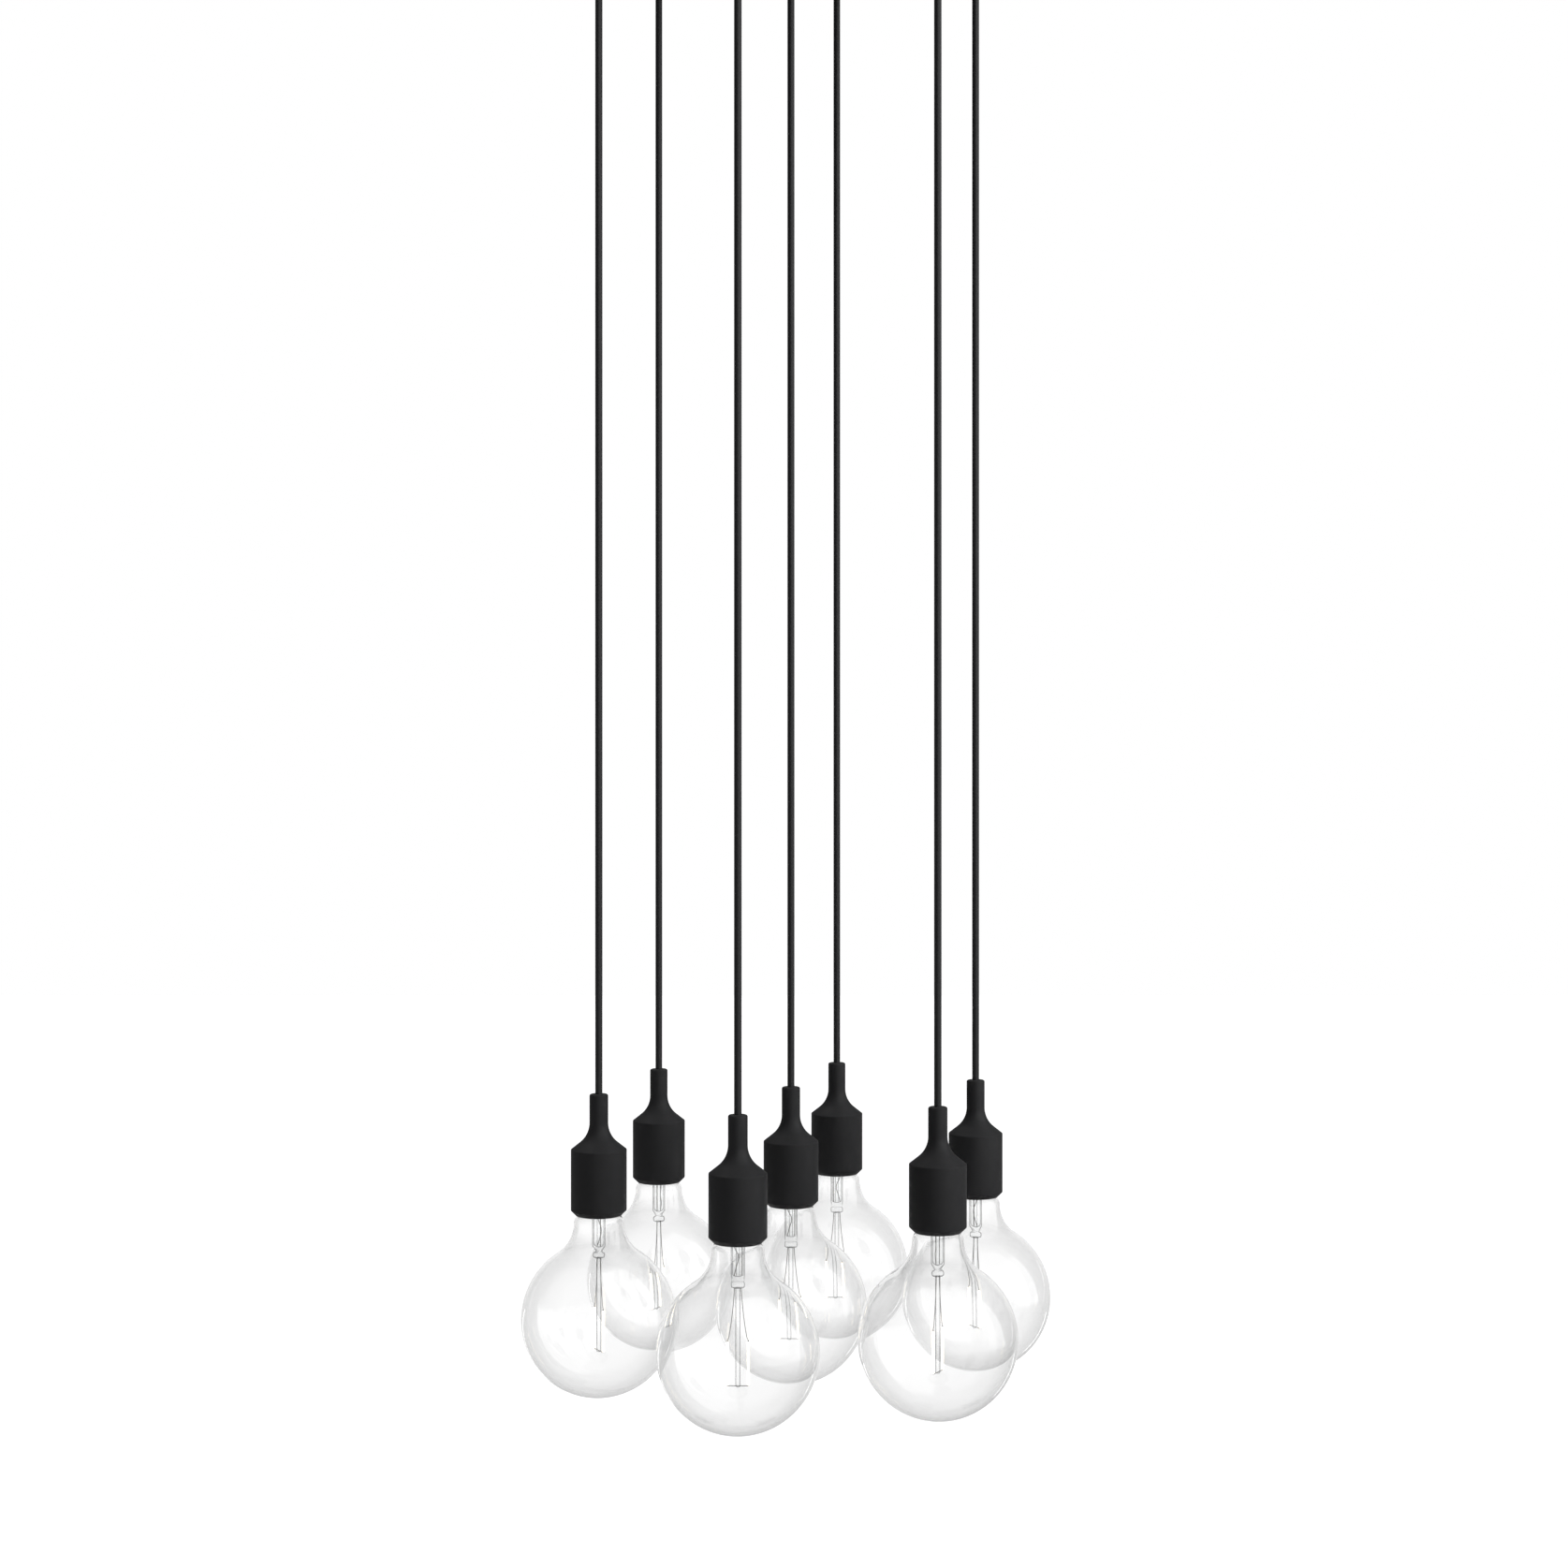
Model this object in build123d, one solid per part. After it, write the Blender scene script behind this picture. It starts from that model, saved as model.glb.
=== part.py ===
from build123d import *
from math import atan2, cos, degrees, radians, sin, sqrt, tan
import os

# Cluster pendant: seven globe lamps on straight cords under one round canopy.
# The origin is the middle of the ceiling plane, +Z is up and the lamp hangs
# below it. Lengths are in millimetres and angles in degrees.

# The cluster: one pendant in the middle, the others in a ring round it.
ring_count = 6
ring_radius = 160.5
ring_turn = 15.25
cord_drop = 1000.0
lamp_turn = 104.75

# Canopy: a spun steel pan whose open rim meets the ceiling.
canopy_diameter = 420.0
canopy_height = 45.0
canopy_sheet = 1.2
canopy_edge_radius = 6.0

# Ceiling bracket: a steel strap with a turned-down ear at each end.
bracket_width = 40.0
bracket_sheet = 2.0
bracket_ear = 16.0
ceiling_slot_spacing = 70.0
ceiling_slot_width = 5.5
ceiling_slot_length = 20.0
cable_hole_diameter = 22.0

# Pan-head screws that hold the canopy, the terminal block and the earth tag.
screw_diameter = 4.0
screw_length = 9.0
screw_head_diameter = 7.2
screw_head_height = 2.4
screw_head_round = 0.8
screw_slot_width = 1.0

# Cord, and the grip that carries it through the canopy.
cord_diameter = 5.8
core_diameter = 2.2
grip_flange_diameter = 18.0
grip_flange_height = 4.5
grip_tip_diameter = 15.4
grip_length = 18.0
grip_thread_diameter = 10.0
grip_thread_length = 14.0
grip_bore_gap = 0.3
pivot_height = 4.5
swing_out = 26.0
locknut_flats = 14.0
locknut_height = 4.0
clamp_screw_diameter = 3.0
clamp_screw_height = 13.0
clamp_screw_socket = 1.5

# Terminal block under the bracket: pairs of clamps, one cord on each side.
block_offset = 84.0
block_length = 70.0
block_width = 28.0
block_height = 18.0
way_count = 4
way_pitch = 14.0
pole_spacing = 6.0
clamp_width = 4.6
clamp_length = 21.0
clamp_bolt_diameter = 2.0
comb_sheet = 1.0
comb_height = 3.0
comb_spacing = 6.0
wire_level = 13.5
tail_bend_radius = 11.0
tail_end = 30.0
core_split = 4.0
core_parted = 20.0
core_reach = 3.0
tail_corner_radius = 12.0

# Earth lead from the bracket to the canopy.
earth_wire_diameter = 2.4
earth_screw_offset = -80.0
earth_stud_shift = 30.0
earth_tag_diameter = 9.0
earth_tag_sheet = 0.8
earth_bend_radius = 6.0

# Socket cover: one soft moulding with a neck round the cord.
cover_diameter = 45.0
cover_height = 97.4
cover_wall = 3.0
cover_neck_diameter = 15.1
cover_neck_length = 23.0
cover_flare_radius = 20.2
cover_flare_angle = 51.7
cover_rim_chamfer = 4.0
cover_neck_round = 1.5
cover_mouth_diameter = 34.0
cover_lip_height = 1.2
cover_throat_diameter = 14.0

# Lampholder for a 27 mm screw cap, inside the cover.
holder_mouth_diameter = 28.4
holder_mouth_height = 2.0
holder_bore_diameter = 29.2
holder_chamber_diameter = 32.0
holder_plate = 4.0
holder_plate_height = 4.3
holder_chamber_height = 11.0
cord_entry_depth = 9.0
contact_depth = 29.1
contact_sheet = 0.5
contact_width = 5.0
contact_overlap = 1.0
post_spacing = 16.0
post_diameter = 2.4
post_height = 5.0
core_bend_radius = 2.0
shell_diameter = 28.8
shell_top = 1.7
thread_runout = 2.3

# Screw cap: rounded thread, outer and core diameters, and its clearance.
thread_major = 26.2
thread_minor = 24.2
thread_pitch = 3.629
thread_gap = 0.25
cap_height = 27.0
cap_skirt_height = 3.0
cap_skirt_diameter = 26.0
cap_shoulder = 5.7
cap_bore_diameter = 22.8
cap_sheet = 0.6
cap_eye_diameter = 16.6
cap_tip_diameter = 9.6
cap_tip_height = 0.7
insulator_height = 3.0

# Glass bulb.
globe_diameter = 125.0
bulb_length = 175.0
glass_wall = 0.8
neck_diameter = 40.4
neck_round = 6.0
neck_drop = 7.9
seal_diameter = 22.4
seal_depth = 4.8
seal_clear = 0.4

# Stem, leads and filaments inside the bulb.
stem_diameter = 10.6
stem_wall = 1.0
stem_flare_diameter = 18.0
stem_flare_height = 6.0
pinch_depth = 59.2
pinch_height = 4.5
pinch_thickness = 3.8
bead_height = 4.8
bead_thickness = 9.4
bead_round = 1.5
exhaust_diameter = 3.0
rod_diameter = 3.8
rod_end_depth = 139.2
lead_diameter = 0.6
lead_straight = 4.0
lead_spread = 6.9
lead_bend_radius = 8.0
hook_height = 3.5
hook_bend_radius = 2.0
filament_spacing = 16.0
filament_diameter = 1.8
filament_length = 33.0
support_length = 16.8

# Clearances: between pieces that are assembled, between pieces that touch, and
# round a screw in its thread.
fit_gap = 0.2
touch_gap = 0.1
screw_gap = 0.05

canopy_radius = canopy_diameter / 2
canopy_floor = canopy_sheet - canopy_height
cord_radius = cord_diameter / 2
pivot_z = pivot_height - canopy_height - grip_length
cover_top = -canopy_height - cord_drop
cover_rim = cover_top - cover_height
cap_tip = cover_rim + contact_depth
cap_rim = cap_tip - cap_height
globe_centre = cap_tip + globe_diameter / 2 - bulb_length
thread_mean_radius = (thread_major + thread_minor) / 4
thread_offset = (thread_major - thread_minor) / 4
glass_top = cap_rim + seal_depth
stem_top = glass_top - glass_wall - fit_gap
pinch_z = cap_tip - pinch_depth
bead_bottom = pinch_z - bead_height
rod_end = cap_tip - rod_end_depth
filament_x = filament_spacing / 2
filament_bottom = rod_end + rod_diameter / 2 - lead_diameter
filament_top = filament_bottom + filament_length


def polar(centre, radius, angle):
    """A point on a circle in the outline plane, where Y stands for height."""
    return centre[0] + radius * cos(radians(angle)), centre[1] + radius * sin(radians(angle))


def arc(centre, radius, start, end):
    """The arc from one angle to another, as three points on it."""
    return ThreePointArc(*(polar(centre, radius, a) for a in (start, (start + end) / 2, end)))


def lines(*points):
    """Straight edges through points."""
    return [Line(a, b) for a, b in zip(points, points[1:])]


def turned(edges):
    """Turns a closed outline, radius and height, round the Z axis."""
    face = make_face(Curve() + edges)
    return revolve(Plane.XZ * face, Axis.Z)


def turned_points(*points):
    """Turns a closed outline of straight edges round the Z axis."""
    return turned(lines(*points, points[0]))


def rod(diameter, bottom, top, x=0, y=0):
    """An upright round bar."""
    bar = Cylinder(diameter / 2, top - bottom, align=(Align.CENTER, Align.CENTER, Align.MIN))
    return Pos(x, y, bottom) * bar


def block(low, high):
    """A box from its lowest to its highest corner."""
    size = [b - a for a, b in zip(low, high)]
    return Pos(*low) * Box(*size, align=(Align.MIN, Align.MIN, Align.MIN))


def wire(points, radii, diameter):
    """A round wire along straight runs that tangent arcs join."""
    path = FilletPolyline(*points, radius=radii)
    section = Plane(path @ 0, z_dir=path % 0) * Circle(diameter / 2)
    return sweep(section, path=path)


def threaded(mean_radius, bottom, top):
    """A bar with a rounded thread: a circle that runs round a slim helix and never turns."""
    path = Helix(thread_pitch, top - bottom, thread_offset, center=(0, 0, bottom))
    section = Pos(thread_offset, 0, bottom) * Circle(mean_radius)
    return sweep(section, path=path, normal=(0, 0, 1))


def pan_screw(length=screw_length):
    """A pan-head screw along -Z, with its head's underside at the origin."""
    head = rod(screw_head_diameter, 0, screw_head_height)
    head = fillet(head.edges().group_by(Axis.Z)[-1], screw_head_round)
    slot = Pos(0, 0, screw_head_height) * Box(screw_head_diameter, screw_slot_width, screw_head_height)
    return head + rod(screw_diameter, -length, 0) - slot


# Places. The middle pendant comes first, then the ring, counter-clockwise from
# above. A lamp's turn is the direction of the plane that holds its filaments.
ring_angles = [ring_turn + 360 / ring_count * n for n in range(ring_count)]
axes = [(0.0, 0.0)] + [polar((0, 0), ring_radius, angle) for angle in ring_angles]
facings = [0.0] + ring_angles
turns = [0.0] + [angle + lamp_turn for angle in ring_angles]
earth_stud = (earth_screw_offset, earth_stud_shift)
block_ends = [block_offset + side * (block_length / 2 - screw_diameter) for side in (-1, 1)]


def at_pendants(shape, angles=facings):
    """One copy of a shape at each pendant's axis."""
    return [Pos(*axis, 0) * Rot(0, 0, angle) * shape for axis, angle in zip(axes, angles)]


# Canopy.
def canopy_shell():
    """The pan: its wall and floor, with holes for the grips and the side screws."""
    pan = rod(canopy_diameter, -canopy_height, 0)
    pan = fillet(pan.edges().group_by(Axis.Z)[0], canopy_edge_radius)
    inside = rod(canopy_diameter - 2 * canopy_sheet, canopy_floor, 0)
    inside = fillet(inside.edges().group_by(Axis.Z)[0], canopy_edge_radius - canopy_sheet)
    holes = at_pendants(rod(grip_thread_diameter + 2 * fit_gap, -canopy_height, canopy_floor))
    across = Pos(0, 0, -bracket_ear / 2) * Rot(0, 90, 0)
    screw_holes = across * Cylinder(screw_diameter / 2 + fit_gap, canopy_diameter)
    stud = rod(screw_diameter, canopy_floor, canopy_floor + screw_length, *earth_stud)
    return pan - inside - holes - screw_holes + stud


def ear_face():
    """How far the outer face of a bracket ear stands from the middle."""
    return sqrt((canopy_radius - canopy_sheet) ** 2 - (bracket_width / 2) ** 2) - fit_gap


def ceiling_bracket():
    """The strap, its two ears, the ceiling slots and the cable hole."""
    reach = ear_face()
    half = bracket_width / 2
    strap = block((-reach, -half, -bracket_sheet), (reach, half, 0))
    for side in (-1, 1):
        ear = Pos(side * (reach - bracket_sheet / 2), 0, -bracket_ear / 2)
        strap += ear * Box(bracket_sheet, bracket_width, bracket_ear)
        slot = SlotOverall(ceiling_slot_length, ceiling_slot_width)
        slot = Pos(side * ceiling_slot_spacing / 2, 0, 0) * slot
        strap -= extrude(slot, -bracket_sheet)
    across = Pos(0, 0, -bracket_ear / 2) * Rot(0, 90, 0)
    strap -= across * Cylinder(screw_diameter / 2, canopy_diameter)
    strap -= rod(cable_hole_diameter, -bracket_sheet, 0)
    for x in (*block_ends, earth_screw_offset):
        strap -= rod(screw_diameter, -bracket_sheet, 0, x)
    return strap


def fixing_screws():
    """Two side screws, two through the terminal block and one at the earth tag."""
    level = Pos(0, 0, -bracket_ear / 2)
    screws = [level * Pos(canopy_radius, 0, 0) * Rot(0, 90, 0) * pan_screw()]
    screws += [level * Pos(-canopy_radius, 0, 0) * Rot(0, -90, 0) * pan_screw()]
    screws += [Pos(x, 0, -screw_length) * Rot(180, 0, 0) * pan_screw() for x in block_ends]
    reach = bracket_sheet + earth_tag_sheet + 2 * touch_gap
    screws += [Pos(earth_screw_offset, 0, -reach) * Rot(180, 0, 0) * pan_screw(reach)]
    return screws


def bell_top():
    """How far above the pivot the bell mouth of a grip begins."""
    bore = cord_radius + grip_bore_gap
    return bore * (1 / cos(radians(swing_out)) - 1) / tan(radians(swing_out))


def cord_grip():
    """Flange, thread, bore and the bell mouth that lets the cord lean."""
    under = -canopy_height
    tip = under - grip_length
    bore = cord_radius + grip_bore_gap
    mouth = bore + (pivot_height + bell_top()) * tan(radians(swing_out))
    grip = turned_points(
        (bore, under + grip_thread_length),
        (grip_thread_diameter / 2, under + grip_thread_length),
        (grip_thread_diameter / 2, under),
        (grip_flange_diameter / 2, under),
        (grip_flange_diameter / 2, under - grip_flange_height),
        (grip_tip_diameter / 2, tip),
        (mouth, tip),
        (bore, pivot_z + bell_top()),
    )
    hole = Pos(0, 0, tip + clamp_screw_height) * Rot(0, 90, 0)
    hole *= Cylinder(clamp_screw_diameter / 2 + screw_gap, grip_flange_diameter,
                     align=(Align.CENTER, Align.CENTER, Align.MIN))
    return grip - hole


def grip_locknut():
    """The hexagon nut that holds a grip in the canopy from inside."""
    nut = extrude(RegularPolygon(locknut_flats / 2, 6, major_radius=False), locknut_height)
    nut = Pos(0, 0, canopy_floor) * nut
    top = canopy_floor + locknut_height
    return nut - rod(grip_thread_diameter + touch_gap, canopy_floor, top)


def grip_clamp_screw():
    """The headless screw that clamps the cord in its grip."""
    start = cord_radius + touch_gap
    length = grip_flange_diameter / 2 - start - fit_gap
    screw = Cylinder(clamp_screw_diameter / 2, length,
                     align=(Align.CENTER, Align.CENTER, Align.MIN))
    socket = Pos(0, 0, length - clamp_screw_socket)
    socket *= extrude(RegularPolygon(clamp_screw_socket / 2, 6), clamp_screw_socket)
    level = -canopy_height - grip_length + clamp_screw_height
    return Pos(start, 0, level) * Rot(0, 90, 0) * (screw - socket)


# Wiring in the canopy.
way_places = [block_offset + way_pitch * (n - (way_count - 1) / 2) for n in range(way_count)]
pole_places = [x + side * pole_spacing / 2 for x in way_places for side in (-1, 1)]
clamp_half = clamp_width / 2
clamp_top = clamp_half - wire_level
block_floor = -bracket_sheet - block_height


def terminal_clamps():
    """Brass clamps across the block, their screws, and a comb that joins each pole."""
    half = clamp_length / 2
    pieces = []
    for x in pole_places:
        body = block((x - clamp_half, -half, -wire_level - clamp_half), (x + clamp_half, half, clamp_top))
        along = Pos(x, 0, -wire_level) * Rot(90, 0, 0)
        body -= along * Cylinder(core_diameter / 2 + fit_gap, clamp_length)
        for side in (-1, 1):
            y = side * clamp_length / 4
            body -= rod(clamp_bolt_diameter, -wire_level - clamp_half, -wire_level, x, y)
            bolt_top = -wire_level - core_diameter / 2 - touch_gap
            pieces.append(rod(clamp_bolt_diameter - touch_gap, block_floor + clamp_half, bolt_top, x, y))
        pieces.append(body)
    for pole, side in ((0, 1), (1, -1)):
        xs = pole_places[pole::2]
        low = side * comb_spacing / 2 - comb_sheet / 2
        high = low + comb_sheet
        middle = clamp_top + comb_height / 2
        comb = block(
            (xs[0] - comb_sheet, low, middle),
            (xs[-1] + comb_sheet, high, clamp_top + comb_height),
        )
        for x in xs:
            comb += block((x - comb_sheet, low, clamp_top), (x + comb_sheet, high, middle))
        pieces.append(comb)
    return pieces


def terminal_block():
    """The moulded housing round the clamps, open where wires and screwdrivers go in."""
    half = block_width / 2
    body = block((block_offset - block_length / 2, -half, block_floor),
                 (block_offset + block_length / 2, half, -bracket_sheet))
    for x in block_ends:
        body -= rod(screw_diameter + 2 * fit_gap, block_floor, -bracket_sheet, x)
        body -= rod(screw_head_diameter + 2 * fit_gap, block_floor, -screw_length, x)
    for x in pole_places:
        room = clamp_half + touch_gap
        reach = clamp_length / 2 + touch_gap
        body -= block((x - room, -reach, -wire_level - room), (x + room, reach, room - wire_level))
        entry = Pos(x, 0, -wire_level) * Rot(90, 0, 0)
        body -= entry * Cylinder(core_diameter / 2 + 2 * fit_gap, block_width)
        for side in (-1, 1):
            body -= rod(clamp_bolt_diameter + fit_gap, block_floor, -wire_level, x, side * clamp_length / 4)
    for side in (-1, 1):
        y = side * comb_spacing / 2
        room = comb_sheet / 2 + touch_gap
        body -= block((pole_places[0] - clamp_half, y - room, clamp_top),
                      (pole_places[-1] + clamp_half, y + room, clamp_top + comb_height + touch_gap))
    return body


# Each cord's way in: the row of the block, its side (+1 is +Y) and the corner
# that the cord turns round on its way there.
cord_ways = [
    (0, 1, (26.0, 46.0)),
    (3, 1, (105.0, 50.0)),
    (2, 1, (91.0, 62.0)),
    (1, 1, (77.0, 64.0)),
    (1, -1, (77.0, -50.0)),
    (2, -1, (91.0, -72.0)),
    (3, -1, (105.0, -62.0)),
]


def tail_route(number):
    """The points of one cord from its grip to the terminal block."""
    x, y = axes[number]
    row, side, corner = cord_ways[number]
    way = way_places[row]
    low = pivot_z + cord_radius + grip_bore_gap
    points = [(x, y, low), (x, y, -wire_level)]
    points.append((*corner, -wire_level))
    if number == 0:
        points.append((way, corner[1], -wire_level))
    return points + [(way, side * tail_end, -wire_level)]


def cord_tail(number):
    """A cord inside the canopy, from the mouth of its grip to its stripped end."""
    points = tail_route(number)
    radii = [tail_bend_radius] + [tail_corner_radius] * (len(points) - 3)
    return wire(points, radii, cord_diameter)


def cord_cores():
    """The two insulated cores of each cord, from its sheath into the clamps."""
    cores = []
    for row, side, _ in cord_ways:
        for pole in (-1, 1):
            inner = way_places[row] + pole * (core_diameter / 2 + touch_gap)
            outer = way_places[row] + pole * pole_spacing / 2
            start = tail_end - touch_gap
            end = clamp_length / 2 - core_reach
            split = start - core_split
            runs = [(inner, start), (inner, split), (outer, core_parted), (outer, end)]
            points = [(x, side * y, -wire_level) for x, y in runs]
            cores.append(wire(points, [core_diameter] * 2, core_diameter))
    return cores


def earth_lead():
    """Two ring tags, the wire between them and the nut on the canopy's stud."""
    top = -bracket_sheet - touch_gap
    floor = canopy_floor + touch_gap
    x, y = earth_stud
    ring = earth_tag_diameter
    eye = screw_diameter + fit_gap
    upper = rod(ring, top - earth_tag_sheet, top, x) - rod(eye, top - earth_tag_sheet, top, x)
    lower = rod(ring, floor, floor + earth_tag_sheet, x, y)
    lower -= rod(eye, floor, floor + earth_tag_sheet, x, y)
    seat = floor + earth_tag_sheet + touch_gap
    nut = extrude(RegularPolygon(screw_head_diameter / 2, 6, major_radius=False), screw_head_height)
    nut = Pos(x, y, seat) * nut - rod(screw_diameter + touch_gap, seat, seat + screw_head_height, x, y)
    radius = earth_wire_diameter / 2
    ends = (ring / 2 + touch_gap, y - ring / 2 - touch_gap)
    middle = sum(ends) / 2
    route = [
        (ends[0], top - radius),
        (middle, top - radius),
        (middle, floor + radius),
        (ends[1], floor + radius),
    ]
    points = [(x, along, height) for along, height in route]
    return [upper, lower, nut, wire(points, [earth_bend_radius] * 2, earth_wire_diameter)]


# One pendant, on the Z axis. Each piece is copied to the seven axes.
def cord():
    """The hanging cord: a ball end in the grip's mouth, straight down into the lampholder."""
    end = cover_top - throat_depth() - cord_entry_depth
    ball = polar((0, pivot_z), cord_radius, 0)
    return turned([
        *lines((0, pivot_z + cord_radius), (0, end), (cord_radius, end), ball),
        arc((0, pivot_z), cord_radius, 0, 90),
    ])


def flare():
    """(centre, end point) of the concave arc that widens the cover under its neck."""
    centre = (cover_neck_diameter / 2 + cover_flare_radius, cover_top - cover_neck_length)
    return centre, polar(centre, cover_flare_radius, 180 + cover_flare_angle)


def shoulder_z():
    """The height of the cover's sharp shoulder."""
    _, (r, z) = flare()
    return z - (cover_diameter / 2 - r) / tan(radians(cover_flare_angle))


def cavity_corner(inset):
    """Where the cavity's slope, parallel to the shoulder's, meets its straight side."""
    slope = radians(cover_flare_angle)
    r = cover_diameter / 2 - inset
    z = shoulder_z() - inset / sin(slope) + inset / tan(slope)
    return r, z


def throat_depth():
    """From the cover's top to the flat top of the lampholder."""
    r, z = cavity_corner(cover_wall)
    rise = (r - cover_throat_diameter / 2) / tan(radians(cover_flare_angle))
    return cover_top - z - rise + fit_gap


def lip(inset):
    """(radius and height, radius and height) of the slope inside the rim."""
    r = cover_diameter / 2 - cover_wall - inset
    drop = r - cover_mouth_diameter / 2
    low = cover_rim + cover_lip_height
    return (cover_mouth_diameter / 2, low + inset), (r, low + drop + inset)


def socket_cover():
    """Neck, concave flare, sharp shoulder, straight side and chamfered rim, round a cavity."""
    neck = cover_neck_diameter / 2
    body = cover_diameter / 2
    centre, end = flare()
    edge = (neck - cover_neck_round, cover_top - cover_neck_round)
    bore = cord_radius + touch_gap
    throat = cover_throat_diameter / 2
    throat_z = cover_top - throat_depth() + fit_gap
    lip_low, lip_high = lip(0)
    return turned([
        *lines((bore, throat_z), (bore, cover_top), (edge[0], cover_top)),
        arc(edge, cover_neck_round, 90, 0),
        *lines((neck, edge[1]), (neck, centre[1])),
        arc(centre, cover_flare_radius, 180, 180 + cover_flare_angle),
        *lines(
            end,
            (body, shoulder_z()),
            (body, cover_rim + cover_rim_chamfer),
            (body - cover_rim_chamfer, cover_rim),
            (cover_mouth_diameter / 2, cover_rim),
            lip_low,
            lip_high,
            cavity_corner(cover_wall),
            (throat, throat_z),
            (bore, throat_z),
        ),
    ])


def lampholder():
    """The moulded housing that fills the cover, and the ceramic plate with the contacts."""
    top = cover_top - throat_depth()
    corner = cavity_corner(cover_wall + fit_gap)
    lip_low, lip_high = lip(fit_gap)
    plate_low = cap_tip + holder_plate_height
    plate_high = plate_low + holder_plate
    entry = cord_radius + touch_gap
    chamber = holder_chamber_diameter / 2
    bore = holder_bore_diameter / 2
    mouth = holder_mouth_diameter / 2
    entry_z = top - cord_entry_depth
    housing = turned_points(
        (entry, top),
        (cover_throat_diameter / 2 - fit_gap, top),
        corner,
        lip_high,
        (lip_low[0] + fit_gap, lip_low[1] + fit_gap),
        (mouth, lip_low[1] + fit_gap),
        (mouth, lip_low[1] + holder_mouth_height),
        (bore, lip_low[1] + holder_mouth_height),
        (bore, plate_low),
        (chamber, plate_low),
        (chamber, plate_low + holder_chamber_height),
        (entry + cord_radius, entry_z),
        (entry, entry_z),
    )
    plate = rod(holder_chamber_diameter - 2 * touch_gap, plate_low, plate_high)
    for x in (-post_spacing / 2, post_spacing / 2):
        plate -= rod(post_diameter + 2 * touch_gap, plate_low, plate_high, x)
    return [housing, plate]


def holder_contacts():
    """Screw shell with its strap, centre tongue, two posts and the cord's cores."""
    plate_low = cap_tip + holder_plate_height - touch_gap
    plate_high = cap_tip + holder_plate_height + holder_plate
    shell_high = cap_tip - shell_top
    thread_start = cap_rim + cap_skirt_height
    shell = rod(shell_diameter, thread_start + thread_runout, shell_high)
    hole = threaded(thread_mean_radius + thread_gap, thread_start, shell_high + thread_pitch)
    half = contact_width / 2
    post = post_spacing / 2
    post_radius = post_diameter / 2
    outer = shell_diameter / 2 - touch_gap
    strap = block((-outer, -half, plate_low - contact_sheet), (-post + post_radius, half, plate_low))
    strap += block((-outer, -half, shell_high - contact_overlap), (contact_sheet - outer, half, plate_low))
    shell = shell - hole + strap
    tongue_tip = cap_tip + touch_gap
    outline = Polyline(
        (post + post_radius, plate_low),
        (post - 2 * post_radius, plate_low),
        (-half, tongue_tip + contact_sheet),
        (-half, tongue_tip),
        (half / 2, tongue_tip),
        (post - 2 * post_radius, plate_low - contact_sheet),
        (post + post_radius, plate_low - contact_sheet),
        close=True,
    )
    tongue = extrude(Plane.XZ * make_face(outline), half, both=True)
    top = cover_top - throat_depth() - cord_entry_depth - touch_gap
    pieces = [shell, tongue]
    for side in (-1, 1):
        post_top = plate_high + post_height
        pieces.append(rod(post_diameter, plate_low + touch_gap, post_top, side * post))
        core = side * (core_diameter / 2 + touch_gap)
        step = (top - post_top) / 4
        route = [
            (core, top),
            (core, top - step),
            (side * post, post_top + step),
            (side * post, post_top + touch_gap),
        ]
        points = [(x, 0, z) for x, z in route]
        pieces.append(wire(points, [core_bend_radius] * 2, core_diameter))
    return pieces


def bulb_cap():
    """Threaded shell with its skirt and shoulder, black insulator and centre contact."""
    skirt_top = cap_rim + cap_skirt_height
    shoulder = cap_tip - cap_shoulder
    eye_z = cap_tip - cap_tip_height - insulator_height
    shell = threaded(thread_mean_radius, skirt_top, shoulder)
    shell += rod(cap_skirt_diameter, cap_rim, skirt_top)
    shell += turned_points(
        (0, shoulder),
        (thread_minor / 2 - touch_gap, shoulder),
        (cap_eye_diameter / 2 + cap_sheet, eye_z),
        (0, eye_z),
    )
    shell -= rod(cap_bore_diameter, cap_rim, shoulder)
    shell -= rod(cap_eye_diameter, shoulder, eye_z)
    eye = cap_eye_diameter / 2 - touch_gap
    insulator = turned_points(
        (0, shoulder),
        (eye, shoulder),
        (eye, eye_z),
        (cap_tip_diameter / 2, cap_tip - cap_tip_height),
        (0, cap_tip - cap_tip_height),
    )
    tip = turned_points(
        (0, cap_tip - cap_tip_height),
        (cap_tip_diameter / 2, cap_tip - cap_tip_height),
        (cap_tip_diameter / 2 - cap_tip_height, cap_tip),
        (0, cap_tip),
    )
    return [shell, insulator, tip]


def glass_outline(inset):
    """The half outline of the glass, moved inwards, from the sealed neck to the pole."""
    globe = globe_diameter / 2 - inset
    neck = neck_diameter / 2
    ring_z = cap_rim - neck_drop
    rise = ring_z - globe_centre
    flare_radius = (rise**2 + neck**2 - (globe_diameter / 2) ** 2) / (globe_diameter - neck_diameter)
    flare_centre = (neck + flare_radius, ring_z)
    round_centre = (neck - neck_round, ring_z)
    turn = degrees(atan2(rise, flare_centre[0]))
    seal = seal_diameter / 2 - inset
    return [
        *lines(
            (0, glass_top - inset),
            (seal, glass_top - inset),
            (seal, cap_rim - seal_clear - inset),
            (round_centre[0], ring_z + neck_round - inset),
        ),
        arc(round_centre, neck_round - inset, 90, 0),
        arc(flare_centre, flare_radius + inset, 180, 180 + turn),
        arc((0, globe_centre), globe, turn, -90),
    ]


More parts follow.
